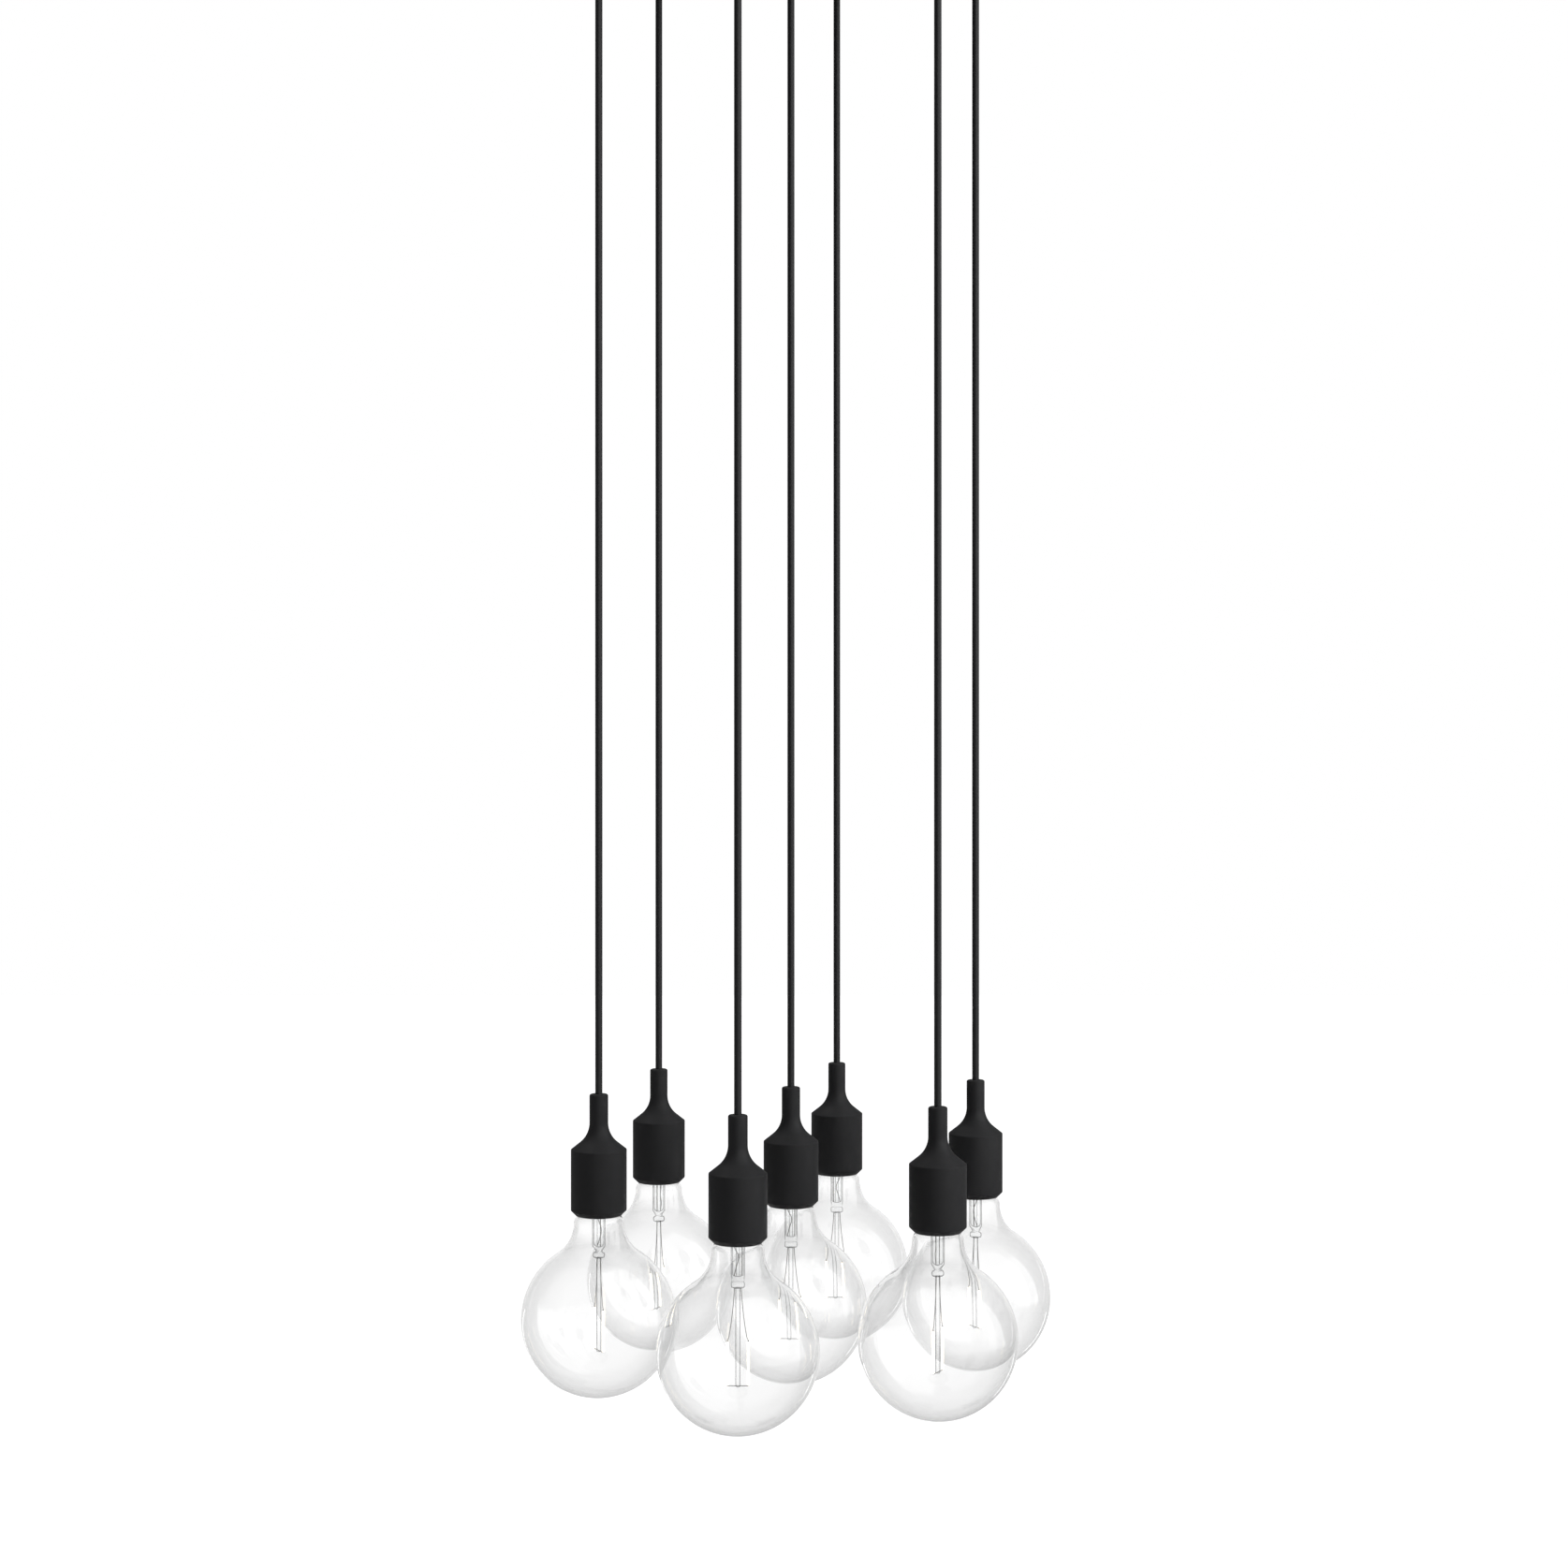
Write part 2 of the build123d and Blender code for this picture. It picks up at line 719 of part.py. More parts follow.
def bulb_glass():
    """A globe with a short neck, sealed at the top: one wall round an empty space."""
    pole = globe_centre - globe_diameter / 2
    outer = glass_outline(0) + lines((0, pole), (0, glass_top))
    inner = glass_outline(glass_wall) + lines((0, pole + glass_wall), (0, glass_top - glass_wall))
    return turned(outer) - turned(inner)


def bulb_mount():
    """Glass stem with its pinch and bead, the rod below it, leads, filaments and support."""
    stem = stem_diameter / 2
    inner = stem - stem_wall
    flare_out = stem_flare_diameter / 2
    pinch_top = pinch_z + pinch_height
    tube = turned_points(
        (inner, pinch_top),
        (stem, pinch_top),
        (stem, stem_top - stem_flare_height),
        (flare_out, stem_top - stem_wall),
        (flare_out, stem_top),
        (flare_out - stem_wall, stem_top),
        (inner, stem_top - stem_flare_height),
    )
    pinch = loft([
        Pos(0, 0, pinch_z) * Ellipse(stem, pinch_thickness / 2),
        Pos(0, 0, pinch_top) * Ellipse(stem, stem),
    ])
    bead = extrude(Pos(0, 0, bead_bottom) * Ellipse(stem, bead_thickness / 2), bead_height)
    bead = fillet(bead.edges(), bead_round)
    exhaust_low = pinch_top + touch_gap
    support_z = filament_bottom - lead_diameter / 2 - touch_gap
    across = Pos(0, 0, support_z) * Rot(0, 90, 0)
    middle_rod = rod(rod_diameter, rod_end, bead_bottom - touch_gap)
    middle_rod -= across * Cylinder(lead_diameter / 2 + touch_gap, rod_diameter)
    support = across * Cylinder(lead_diameter / 2, support_length)
    exhaust = rod(exhaust_diameter, exhaust_low, stem_top)
    pieces = [tube + pinch + bead, middle_rod, support, exhaust]
    for side in (-1, 1):
        inside = side * (exhaust_diameter / 2 + lead_diameter)
        pieces.append(rod(lead_diameter, exhaust_low, stem_top, inside))
        start = side * (rod_diameter / 2 + lead_diameter)
        hook = [
            (start, 0, bead_bottom - touch_gap),
            (start, 0, bead_bottom - lead_straight),
            (side * lead_spread, 0, filament_top + hook_height),
            (side * filament_x, 0, filament_top + touch_gap),
        ]
        pieces.append(wire(hook, [lead_bend_radius, hook_bend_radius], lead_diameter))
        pieces.append(rod(filament_diameter, filament_bottom, filament_top, side * filament_x))
    return pieces


def write(name, shapes):
    """Writes a sub-part, with each of its solids apart."""
    solids = [solid for shape in shapes for solid in shape.solids()]
    export_step(Compound(children=solids, label=name), f"parts/{name}.step")


os.makedirs("parts", exist_ok=True)

write("canopy_shell", [canopy_shell()])
write("ceiling_bracket", [ceiling_bracket()])
write("fixing_screws", fixing_screws())
write("cord_grips", at_pendants(cord_grip()))
write("grip_locknuts", at_pendants(grip_locknut()))
write("grip_clamp_screws", at_pendants(grip_clamp_screw()))
write("terminal_block", [terminal_block()])
write("terminal_clamps", terminal_clamps())
write("cord_tails", [cord_tail(number) for number in range(len(axes))])
write("cord_cores", cord_cores())
write("earth_lead", earth_lead())

pendant = {
    "cord": [cord()],
    "socket_cover": [socket_cover()],
    "lampholder": lampholder(),
    "holder_contacts": holder_contacts(),
    "bulb_cap": bulb_cap(),
    "bulb_glass": [bulb_glass()],
    "bulb_mount": bulb_mount(),
}
for name, pieces in pendant.items():
    for number, (axis, turn) in enumerate(zip(axes, turns), 1):
        place = Pos(*axis, 0) * Rot(0, 0, turn)
        write(f"{name}_{number}", [place * piece for piece in pieces])
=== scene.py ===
import math

import bmesh
import bpy
from mathutils import Matrix, Vector


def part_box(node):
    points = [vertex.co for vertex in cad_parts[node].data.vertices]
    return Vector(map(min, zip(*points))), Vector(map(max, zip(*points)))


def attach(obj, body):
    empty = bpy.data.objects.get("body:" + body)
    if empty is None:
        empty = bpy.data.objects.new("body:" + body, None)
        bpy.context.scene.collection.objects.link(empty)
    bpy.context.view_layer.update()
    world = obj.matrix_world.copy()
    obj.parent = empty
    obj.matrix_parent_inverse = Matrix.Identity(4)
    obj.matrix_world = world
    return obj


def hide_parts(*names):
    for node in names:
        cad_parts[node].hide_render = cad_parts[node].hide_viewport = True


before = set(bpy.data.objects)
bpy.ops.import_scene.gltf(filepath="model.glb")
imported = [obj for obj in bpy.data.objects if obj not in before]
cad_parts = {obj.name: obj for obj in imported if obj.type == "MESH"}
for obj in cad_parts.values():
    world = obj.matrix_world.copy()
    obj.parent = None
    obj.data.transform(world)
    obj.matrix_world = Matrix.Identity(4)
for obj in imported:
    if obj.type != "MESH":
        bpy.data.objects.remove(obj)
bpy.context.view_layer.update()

# ---------------------------------------------------------------- camera
# The photographer stood a good two metres from the lamp, with the camera
# level at three quarters of a metre under the ceiling and its back upright.
view = bpy.data.cameras.new("camera")
view.lens = 59.62
view.sensor_width = 36.0
view.shift_y = -0.0340
camera = bpy.data.objects.new("camera", view)
camera.location = (-0.0057, -2.1337, -0.75245)
camera.rotation_euler = (math.radians(90), 0, 0)
bpy.context.scene.collection.objects.link(camera)
bpy.context.scene.camera = camera
bpy.context.scene.view_settings.view_transform = "Standard"

# ---------------------------------------------------------------- hanging cords
# Round two-core cords with a smooth black sheath, cut from a reel. Each hangs
# from the bell mouth of its grip and goes straight down into a lampholder,
# pulled tight by the weight of the bulb.
RING_RADIUS = 0.1605
RING_TURN = 15.25
RING_COUNT = 6
ring_angles = [math.radians(RING_TURN + 360 / RING_COUNT * n) for n in range(RING_COUNT)]
hang_points = [(0.0, 0.0)] + [
    (RING_RADIUS * math.cos(a), RING_RADIUS * math.sin(a)) for a in ring_angles
]
pendants = range(1, len(hang_points) + 1)


def shader(name, colour, roughness, **sockets):
    """A material with one Principled shader, its plain values set on its own sockets."""
    material = bpy.data.materials.new(name)
    material.use_nodes = True
    surface = material.node_tree.nodes["Principled BSDF"]
    surface.inputs["Base Color"].default_value = (*colour, 1.0)
    surface.inputs["Roughness"].default_value = roughness
    for socket, value in sockets.items():
        surface.inputs[socket.replace("_", " ").title().replace("Ior", "IOR")].default_value = value
    return material


def worked(nodes, links, kind, first, second):
    """One sum of two values; each is another node's output or a plain number."""
    step = nodes.new("ShaderNodeMath")
    step.operation = kind
    for socket, value in zip(step.inputs, (first, second)):
        if isinstance(value, float):
            socket.default_value = value
        else:
            links.new(value, socket)
    return step.outputs[0]


def grain_group():
    """Fine grain and broad cloudiness of a moulded, drawn or sprayed surface."""
    group = bpy.data.node_groups.new("surface grain", "ShaderNodeTree")
    face = group.interface
    face.new_socket("Grain size", in_out="INPUT", socket_type="NodeSocketFloat")
    face.new_socket("Cloud size", in_out="INPUT", socket_type="NodeSocketFloat")
    face.new_socket("Stretch", in_out="INPUT", socket_type="NodeSocketVector")
    face.new_socket("Height", in_out="OUTPUT", socket_type="NodeSocketFloat")
    face.new_socket("Cloud", in_out="OUTPUT", socket_type="NodeSocketFloat")
    nodes, links = group.nodes, group.links
    given = nodes.new("NodeGroupInput")
    out = nodes.new("NodeGroupOutput")
    place = nodes.new("ShaderNodeTexCoord")
    stretch = nodes.new("ShaderNodeVectorMath")
    stretch.operation = "MULTIPLY"
    links.new(place.outputs["Object"], stretch.inputs[0])
    links.new(given.outputs["Stretch"], stretch.inputs[1])
    for size, target, detail in (("Grain size", "Height", 3.0), ("Cloud size", "Cloud", 5.0)):
        scale = worked(nodes, links, "DIVIDE", 1.0, given.outputs[size])
        noise = nodes.new("ShaderNodeTexNoise")
        noise.inputs["Detail"].default_value = detail
        links.new(stretch.outputs[0], noise.inputs["Vector"])
        links.new(scale, noise.inputs["Scale"])
        links.new(noise.outputs["Fac"], out.inputs[target])
    return group


surface_grain = grain_group()


def grained(material, grain, cloud, depth, dark, light, smooth, rough, stretch=(1, 1, 1)):
    """Adds grain to a material: bump of a real depth, and clouds of colour and gloss."""
    nodes, links = material.node_tree.nodes, material.node_tree.links
    surface = nodes["Principled BSDF"]
    texture = nodes.new("ShaderNodeGroup")
    texture.node_tree = surface_grain
    texture.inputs["Grain size"].default_value = grain
    texture.inputs["Cloud size"].default_value = cloud
    texture.inputs["Stretch"].default_value = stretch
    bump = nodes.new("ShaderNodeBump")
    bump.inputs["Distance"].default_value = depth
    links.new(texture.outputs["Height"], bump.inputs["Height"])
    links.new(bump.outputs["Normal"], surface.inputs["Normal"])
    tone_and_edge_shade = nodes.new("ShaderNodeMix")
    tone_and_edge_shade.data_type = "RGBA"
    tone_and_edge_shade.inputs[6].default_value = (*dark, 1.0)
    tone_and_edge_shade.inputs[7].default_value = (*light, 1.0)
    links.new(texture.outputs["Cloud"], tone_and_edge_shade.inputs[0])
    links.new(tone_and_edge_shade.outputs[2], surface.inputs["Base Color"])
    gloss = nodes.new("ShaderNodeMapRange")
    gloss.inputs["From Min"].default_value = 0.3
    gloss.inputs["From Max"].default_value = 0.7
    gloss.inputs["To Min"].default_value = smooth
    gloss.inputs["To Max"].default_value = rough
    links.new(texture.outputs["Cloud"], gloss.inputs["Value"])
    links.new(gloss.outputs["Result"], surface.inputs["Roughness"])
    return material


CORD_DIAMETER = 0.0058
cord_sheath = grained(
    shader("black cord sheath", (0.012, 0.012, 0.013), 0.5, specular_ior_level=0.35),
    grain=0.0006, cloud=0.02, depth=0.000006,
    dark=(0.010, 0.010, 0.011), light=(0.013, 0.013, 0.014), smooth=0.46, rough=0.52,
)
for number, (x, y) in enumerate(hang_points, 1):
    low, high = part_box(f"cord_{number}")
    line = bpy.data.curves.new(f"hanging_cord_{number}", "CURVE")
    line.dimensions = "3D"
    line.bevel_depth = CORD_DIAMETER / 2
    line.bevel_resolution = 8
    line.use_fill_caps = True
    spline = line.splines.new("NURBS")
    spline.points.add(5)
    for point, share in zip(spline.points, (0, 0.2, 0.4, 0.6, 0.8, 1)):
        point.co = (x, y, high.z + (low.z - high.z) * share, 1)
    spline.order_u = 3
    spline.use_endpoint_u = True
    line.materials.append(cord_sheath)
    cord = bpy.data.objects.new(f"hanging_cord_{number}", line)
    bpy.context.scene.collection.objects.link(cord)
    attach(cord, f"pendant_{number}")
    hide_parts(f"cord_{number}")

# ---------------------------------------------------------------- socket covers
# Soft rubber covers, each cast in one piece and pulled over its lampholder. A
# straight neck hugs the cord, then flares to a sharp shoulder; the rim is bevelled.
COVER_TOP = -1.045
COVER_HEIGHT = 0.0974
COVER_RADIUS = 0.0225
COVER_NECK_RADIUS = 0.00755
COVER_NECK_LENGTH = 0.0230
COVER_FLARE_RADIUS = 0.0202
COVER_FLARE_ANGLE = 51.7
COVER_RIM_BEVEL = 0.0040
COVER_MOUTH_RADIUS = 0.0170
COVER_WALL = 0.0030
COVER_LIP = 0.0012
COVER_THROAT_RADIUS = 0.0070
COVER_RIM = COVER_TOP - COVER_HEIGHT
BORE_ROUND = 0.0004
NECK_TOP_ROUND = 0.0015
SHOULDER_ROUND = 0.0007
BEVEL_TOP_ROUND = 0.0006
BEVEL_LOW_ROUND = 0.0004
MOUTH_ROUND = 0.0003


def bow(centre, radius, start, end, steps):
    """Points on an arc, as (distance from the axis, height), between two angles in degrees."""
    angles = [math.radians(start + (end - start) * n / steps) for n in range(steps + 1)]
    return [(centre[0] + radius * math.cos(a), centre[1] + radius * math.sin(a)) for a in angles]


def eased(corner, before, after, radius, steps=4):
    """Points of the small round that softens one corner of an outline."""
    corner, before, after = Vector(corner), Vector(before), Vector(after)
    back = (before - corner).normalized()
    on = (after - corner).normalized()
    half = back.angle(on) / 2
    centre = corner + (back + on).normalized() * radius / math.sin(half)
    first = corner + back * radius / math.tan(half) - centre
    last = corner + on * radius / math.tan(half) - centre
    points = []
    for n in range(steps + 1):
        spoke = first.lerp(last, n / steps).normalized() * radius
        points.append(tuple(centre + spoke))
    return points


def lathe_tree():
    """Turns an outline of edges, drawn in the XZ plane, round the Z axis."""
    tree = bpy.data.node_groups.new("lathe", "GeometryNodeTree")
    face = tree.interface
    face.new_socket("Outline", in_out="INPUT", socket_type="NodeSocketGeometry")
    face.new_socket("Steps", in_out="INPUT", socket_type="NodeSocketInt")
    face.new_socket("Finish", in_out="INPUT", socket_type="NodeSocketMaterial")
    face.new_socket("Piece", in_out="OUTPUT", socket_type="NodeSocketGeometry")
    nodes, links = tree.nodes, tree.links
    given = nodes.new("NodeGroupInput")
    out = nodes.new("NodeGroupOutput")
    spread = 0.1
    section = nodes.new("GeometryNodeMeshToCurve")
    tip = nodes.new("GeometryNodeTransform")
    tip.inputs["Translation"].default_value = (-spread, 0, 0)
    tip.inputs["Rotation"].default_value = (math.radians(90), 0, 0)
    circle = nodes.new("GeometryNodeCurvePrimitiveCircle")
    circle.inputs["Radius"].default_value = spread
    sweep = nodes.new("GeometryNodeCurveToMesh")
    weld = nodes.new("GeometryNodeMergeByDistance")
    weld.inputs["Distance"].default_value = 0.000002
    real = nodes.new("GeometryNodeRealizeInstances")
    coat = nodes.new("GeometryNodeSetMaterial")
    links.new(given.outputs["Outline"], section.inputs["Mesh"])
    links.new(section.outputs["Curve"], tip.inputs["Geometry"])
    links.new(given.outputs["Steps"], circle.inputs["Resolution"])
    links.new(circle.outputs["Curve"], sweep.inputs["Curve"])
    links.new(tip.outputs["Geometry"], sweep.inputs["Profile Curve"])
    links.new(sweep.outputs["Mesh"], weld.inputs["Geometry"])
    links.new(weld.outputs["Geometry"], real.inputs["Geometry"])
    links.new(real.outputs["Geometry"], coat.inputs["Geometry"])
    links.new(given.outputs["Finish"], coat.inputs["Material"])
    links.new(coat.outputs["Geometry"], out.inputs["Piece"])
    return tree


lathe = lathe_tree()


def run_tree(tree, name, blank, **values):
    """Puts a mesh through a geometry node tree and gives back the plain mesh that comes out."""
    holder = bpy.data.objects.new(name, blank)
    bpy.context.scene.collection.objects.link(holder)
    modifier = holder.modifiers.new(tree.name, "NODES")
    modifier.node_group = tree
    for item in tree.interface.items_tree:
        if item.in_out == "INPUT" and item.name in values:
            modifier[item.identifier] = values[item.name]
    mesh = bpy.data.meshes.new_from_object(
        holder.evaluated_get(bpy.context.evaluated_depsgraph_get())
    )
    holder.modifiers.remove(modifier)
    bpy.data.objects.remove(holder)
    mesh.name = name
    return mesh


def turned(name, outline, finish, steps=96, closed=True, crease=32):
    """A turned piece; its outline runs so that the material lies on the left."""
    blank = bpy.data.meshes.new(name)
    joins = [(n, n + 1) for n in range(len(outline) - 1)]
    if closed:
        joins.append((len(outline) - 1, 0))
    blank.from_pydata([(r, 0, z) for r, z in outline], joins, [])
    mesh = run_tree(lathe, name, blank, Steps=steps, Finish=finish)
    work = bmesh.new()
    work.from_mesh(mesh)
    bmesh.ops.recalc_face_normals(work, faces=work.faces)
    work.to_mesh(mesh)
    work.free()
    mesh.shade_smooth()
    mesh.set_sharp_from_angle(angle=math.radians(crease))
    return mesh


def hang(name, mesh, body, number, turn=0.0):
    """Puts a copy of a mesh, made on the Z axis, on one pendant's axis and on its body."""
    copy = mesh.copy()
    x, y = hang_points[number - 1]
    copy.transform(Matrix.Translation((x, y, 0)) @ Matrix.Rotation(turn, 4, "Z"))
    piece = bpy.data.objects.new(f"{name}_{number}", copy)
    bpy.context.scene.collection.objects.link(piece)
    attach(piece, f"{body}_{number}")
    return piece


cover_rubber = grained(
    shader("soft black rubber", (0.010, 0.010, 0.011), 0.6, specular_ior_level=0.3,
           sheen_weight=0.05, sheen_roughness=0.4),
    grain=0.0004, cloud=0.012, depth=0.00004,
    dark=(0.008, 0.008, 0.009), light=(0.013, 0.013, 0.014), smooth=0.52, rough=0.66,
)
flare_centre = (COVER_NECK_RADIUS + COVER_FLARE_RADIUS, COVER_TOP - COVER_NECK_LENGTH)
flare = bow(flare_centre, COVER_FLARE_RADIUS, 180, 180 + COVER_FLARE_ANGLE, 14)
slope = math.tan(math.radians(COVER_FLARE_ANGLE))
shoulder = (COVER_RADIUS, flare[-1][1] - (COVER_RADIUS - flare[-1][0]) / slope)
bevel_top = (COVER_RADIUS, COVER_RIM + COVER_RIM_BEVEL)
bevel_low = (COVER_RADIUS - COVER_RIM_BEVEL, COVER_RIM)
mouth_low = (COVER_MOUTH_RADIUS, COVER_RIM)
mouth_high = (COVER_MOUTH_RADIUS, COVER_RIM + COVER_LIP)
seat = (COVER_RADIUS - COVER_WALL, mouth_high[1] + COVER_RADIUS - COVER_WALL - COVER_MOUTH_RADIUS)
roof = (
    COVER_RADIUS - COVER_WALL,
    shoulder[1] - COVER_WALL / math.sin(math.radians(COVER_FLARE_ANGLE)) + COVER_WALL / slope,
)
throat = (COVER_THROAT_RADIUS, roof[1] + (roof[0] - COVER_THROAT_RADIUS) / slope)
neck_bore = CORD_DIAMETER / 2 + 0.0001
neck_edge = COVER_NECK_RADIUS - NECK_TOP_ROUND
cover_outline = (
    bow((neck_bore + BORE_ROUND, COVER_TOP - BORE_ROUND), BORE_ROUND, 180, 90, 3)
    + bow((neck_edge, COVER_TOP - NECK_TOP_ROUND), NECK_TOP_ROUND, 90, 0, 6)
    + flare
    + eased(shoulder, flare[-1], bevel_top, SHOULDER_ROUND)
    + eased(bevel_top, shoulder, bevel_low, BEVEL_TOP_ROUND)
    + eased(bevel_low, bevel_top, mouth_low, BEVEL_LOW_ROUND)
    + eased(mouth_low, bevel_low, mouth_high, MOUTH_ROUND)
    + [mouth_high, seat, roof, throat, (neck_bore, throat[1])]
)
cover_mesh = turned("socket_cover_skin", cover_outline, cover_rubber, steps=128)
for number in pendants:
    cover = hang("socket_cover_skin", cover_mesh, "pendant", number)
    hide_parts(f"socket_cover_{number}")

# ---------------------------------------------------------------- glass globes
# Thin clear globes blown from tube glass, with a short straight neck that a
# flame rounds where the stem is sealed into it. The glass is colourless.
BULB_LENGTH = 0.1750
CAP_LENGTH = 0.0270
CAP_TIP = COVER_RIM + 0.0291
CAP_RIM = CAP_TIP - CAP_LENGTH
GLOBE_RADIUS = 0.0625
GLOBE_Z = CAP_TIP + GLOBE_RADIUS - BULB_LENGTH
NECK_RADIUS = 0.0202
NECK_ROUND = 0.0060
NECK_Z = CAP_RIM - 0.0079
GLASS_TOP = CAP_RIM + 0.0048
GLASS_WALL = 0.0008
SEAL_RADIUS = 0.0112
GLASS_CREASE = 50


def glass_outline(inset):
    """The half outline of the globe, moved inwards, from its sealed top down to its pole."""
    rise = NECK_Z - GLOBE_Z
    bend = (rise**2 + NECK_RADIUS**2 - GLOBE_RADIUS**2) / (2 * (GLOBE_RADIUS - NECK_RADIUS))
    bend_centre = (NECK_RADIUS + bend, NECK_Z)
    round_centre = (NECK_RADIUS - NECK_ROUND, NECK_Z)
    turn = math.degrees(math.atan2(rise, bend_centre[0]))
    seal = SEAL_RADIUS - inset
    return (
        [(0, GLASS_TOP - inset), (seal, GLASS_TOP - inset), (seal, CAP_RIM - 0.0004 - inset)]
        + bow(round_centre, NECK_ROUND - inset, 90, 0, 10)
        + bow(bend_centre, bend + inset, 180, 180 + turn, 16)[1:]
        + bow((0, GLOBE_Z), GLOBE_RADIUS - inset, turn, -90, 64)[1:]
    )


def clear_glass(name, edge_shade_greys, refracting_depth):
    """Clear glass, painted greyer where it is seen at a slant: painted shade in place of the darker
    surroundings seen bent and mirrored at its edges.

    Lamps shine through it. Past a number of surfaces on one line of sight it no longer bends
    light, so that glass behind glass stays clear."""
    material = shader(name, (0.995, 0.995, 0.995), 0.0, ior=1.46)
    nodes, links = material.node_tree.nodes, material.node_tree.links
    surface = nodes["Principled BSDF"]
    surface.inputs["Transmission Weight"].default_value = 1.0
    # Painted shade: the glass's colour turns greyer the more it is seen at a slant.
    facing = nodes.new("ShaderNodeLayerWeight")
    facing.inputs["Blend"].default_value = 0.5
    tone_and_edge_shade = nodes.new("ShaderNodeValToRGB")
    ramp = tone_and_edge_shade.color_ramp.elements
    ramp[0].position, ramp[1].position = edge_shade_greys[0][0], edge_shade_greys[-1][0]
    for place, _ in edge_shade_greys[1:-1]:
        ramp.new(place)
    for stop, (_, grey) in zip(ramp, edge_shade_greys):
        stop.color = (grey, grey * 1.002, grey * 1.002, 1.0)
    links.new(facing.outputs["Facing"], tone_and_edge_shade.inputs["Fac"])
    clear = nodes.new("ShaderNodeBsdfTransparent")
    links.new(tone_and_edge_shade.outputs["Color"], clear.inputs["Color"])
    ray = nodes.new("ShaderNodeLightPath")
    unbent = worked(nodes, links, "GREATER_THAN", ray.outputs["Ray Depth"], refracting_depth - 0.5)
    for kind in ("Is Shadow Ray", "Is Diffuse Ray"):
        unbent = worked(nodes, links, "MAXIMUM", unbent, ray.outputs[kind])
    blend = nodes.new("ShaderNodeMixShader")
    links.new(unbent, blend.inputs[0])
    links.new(surface.outputs[0], blend.inputs[1])
    links.new(clear.outputs[0], blend.inputs[2])
    links.new(blend.outputs[0], nodes["Material Output"].inputs["Surface"])
    return material


# Painted shade: the globes' glass is painted slightly grey towards its rims, where it is seen at a
# slant.
globe_glass = clear_glass(
    "clear globe glass", ((0.0, 1.0), (0.33, 0.99), (0.5, 0.97), (0.75, 0.96), (1.0, 0.94)),
    refracting_depth=9,
)
globe_mesh, hollow_mesh = [
    turned(name, glass_outline(inset), globe_glass, steps=160, closed=False, crease=GLASS_CREASE)
    for name, inset in (("globe_outside", 0.0), ("globe_inside", GLASS_WALL))
]
hollow_mesh.flip_normals()
work = bmesh.new()
work.from_mesh(globe_mesh)
work.from_mesh(hollow_mesh)
work.to_mesh(globe_mesh)
work.free()
globe_mesh.shade_smooth()
globe_mesh.set_sharp_from_angle(angle=math.radians(GLASS_CREASE))
for number in pendants:
    globe = hang("globe", globe_mesh, "bulb_travel", number)
    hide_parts(f"bulb_glass_{number}")

# ---------------------------------------------------------------- stems
# Each stem is a glass tube, flared and sealed to the neck at its top and
# pinched flat over its wires; a bead under the pinch carries a glass rod. A
# thinner tube inside it was used to pump the bulb out.
STEM_RADIUS = 0.0053
STEM_WALL = 0.0010
STEM_CREASE = 60
FLARE_RADIUS = 0.0090
FLARE_EDGE = 0.0010
FLARE_LENGTH = 0.0055
STEM_TOP = GLASS_TOP - GLASS_WALL - 0.0002
PINCH_Z = CAP_TIP - 0.0592
PINCH_TOP = PINCH_Z + 0.0045
PINCH_START = 0.0012
PINCH_LENGTH = 0.0055
PINCH_HALF_DEPTH = 0.0019
BEAD_Z = PINCH_Z - 0.0048
ROD_RADIUS = 0.0019
ROD_TOP = BEAD_Z - 0.0001
ROD_END = CAP_TIP - 0.1392
LAMP_TURN = 104.75
lamp_turns = [0.0] + [a + math.radians(LAMP_TURN) for a in ring_angles]


def lofted(rings, steps, finish, name):
    """A closed skin through oval rings, each (height, half width, half depth), shut at both ends."""
    work = bmesh.new()
    rows = []
    for z, a, b in rings:
        if a == 0:
            rows.append([work.verts.new((0, 0, z))])
            continue
        angles = [2 * math.pi * n / steps for n in range(steps)]
        rows.append([work.verts.new((a * math.cos(t), b * math.sin(t), z)) for t in angles])
    for upper, under in zip(rows, rows[1:]):
        for n in range(steps):
            m = (n + 1) % steps
            if len(upper) == 1:
                work.faces.new((upper[0], under[n], under[m]))
            elif len(under) == 1:
                work.faces.new((upper[n], under[0], upper[m]))
            else:
                work.faces.new((upper[n], under[n], under[m], upper[m]))
    bmesh.ops.recalc_face_normals(work, faces=work.faces)
    mesh = bpy.data.meshes.new(name)
    work.to_mesh(mesh)
    work.free()
    mesh.materials.append(finish)
    mesh.shade_smooth()
    mesh.set_sharp_from_angle(angle=math.radians(STEM_CREASE))
    return mesh


def joined(name, meshes):
    """Several meshes of one material each in one."""
    finishes = []
    work = bmesh.new()
    for mesh in meshes:
        if mesh.materials[0] not in finishes:
            finishes.append(mesh.materials[0])
        first = len(work.faces)
        work.from_mesh(mesh)
        work.faces.ensure_lookup_table()
        for face in work.faces[first:]:
            face.material_index = finishes.index(mesh.materials[0])
    whole = bpy.data.meshes.new(name)
    work.to_mesh(whole)
    work.free()
    for finish in finishes:
        whole.materials.append(finish)
    whole.set_sharp_from_angle(angle=math.radians(STEM_CREASE))
    return whole


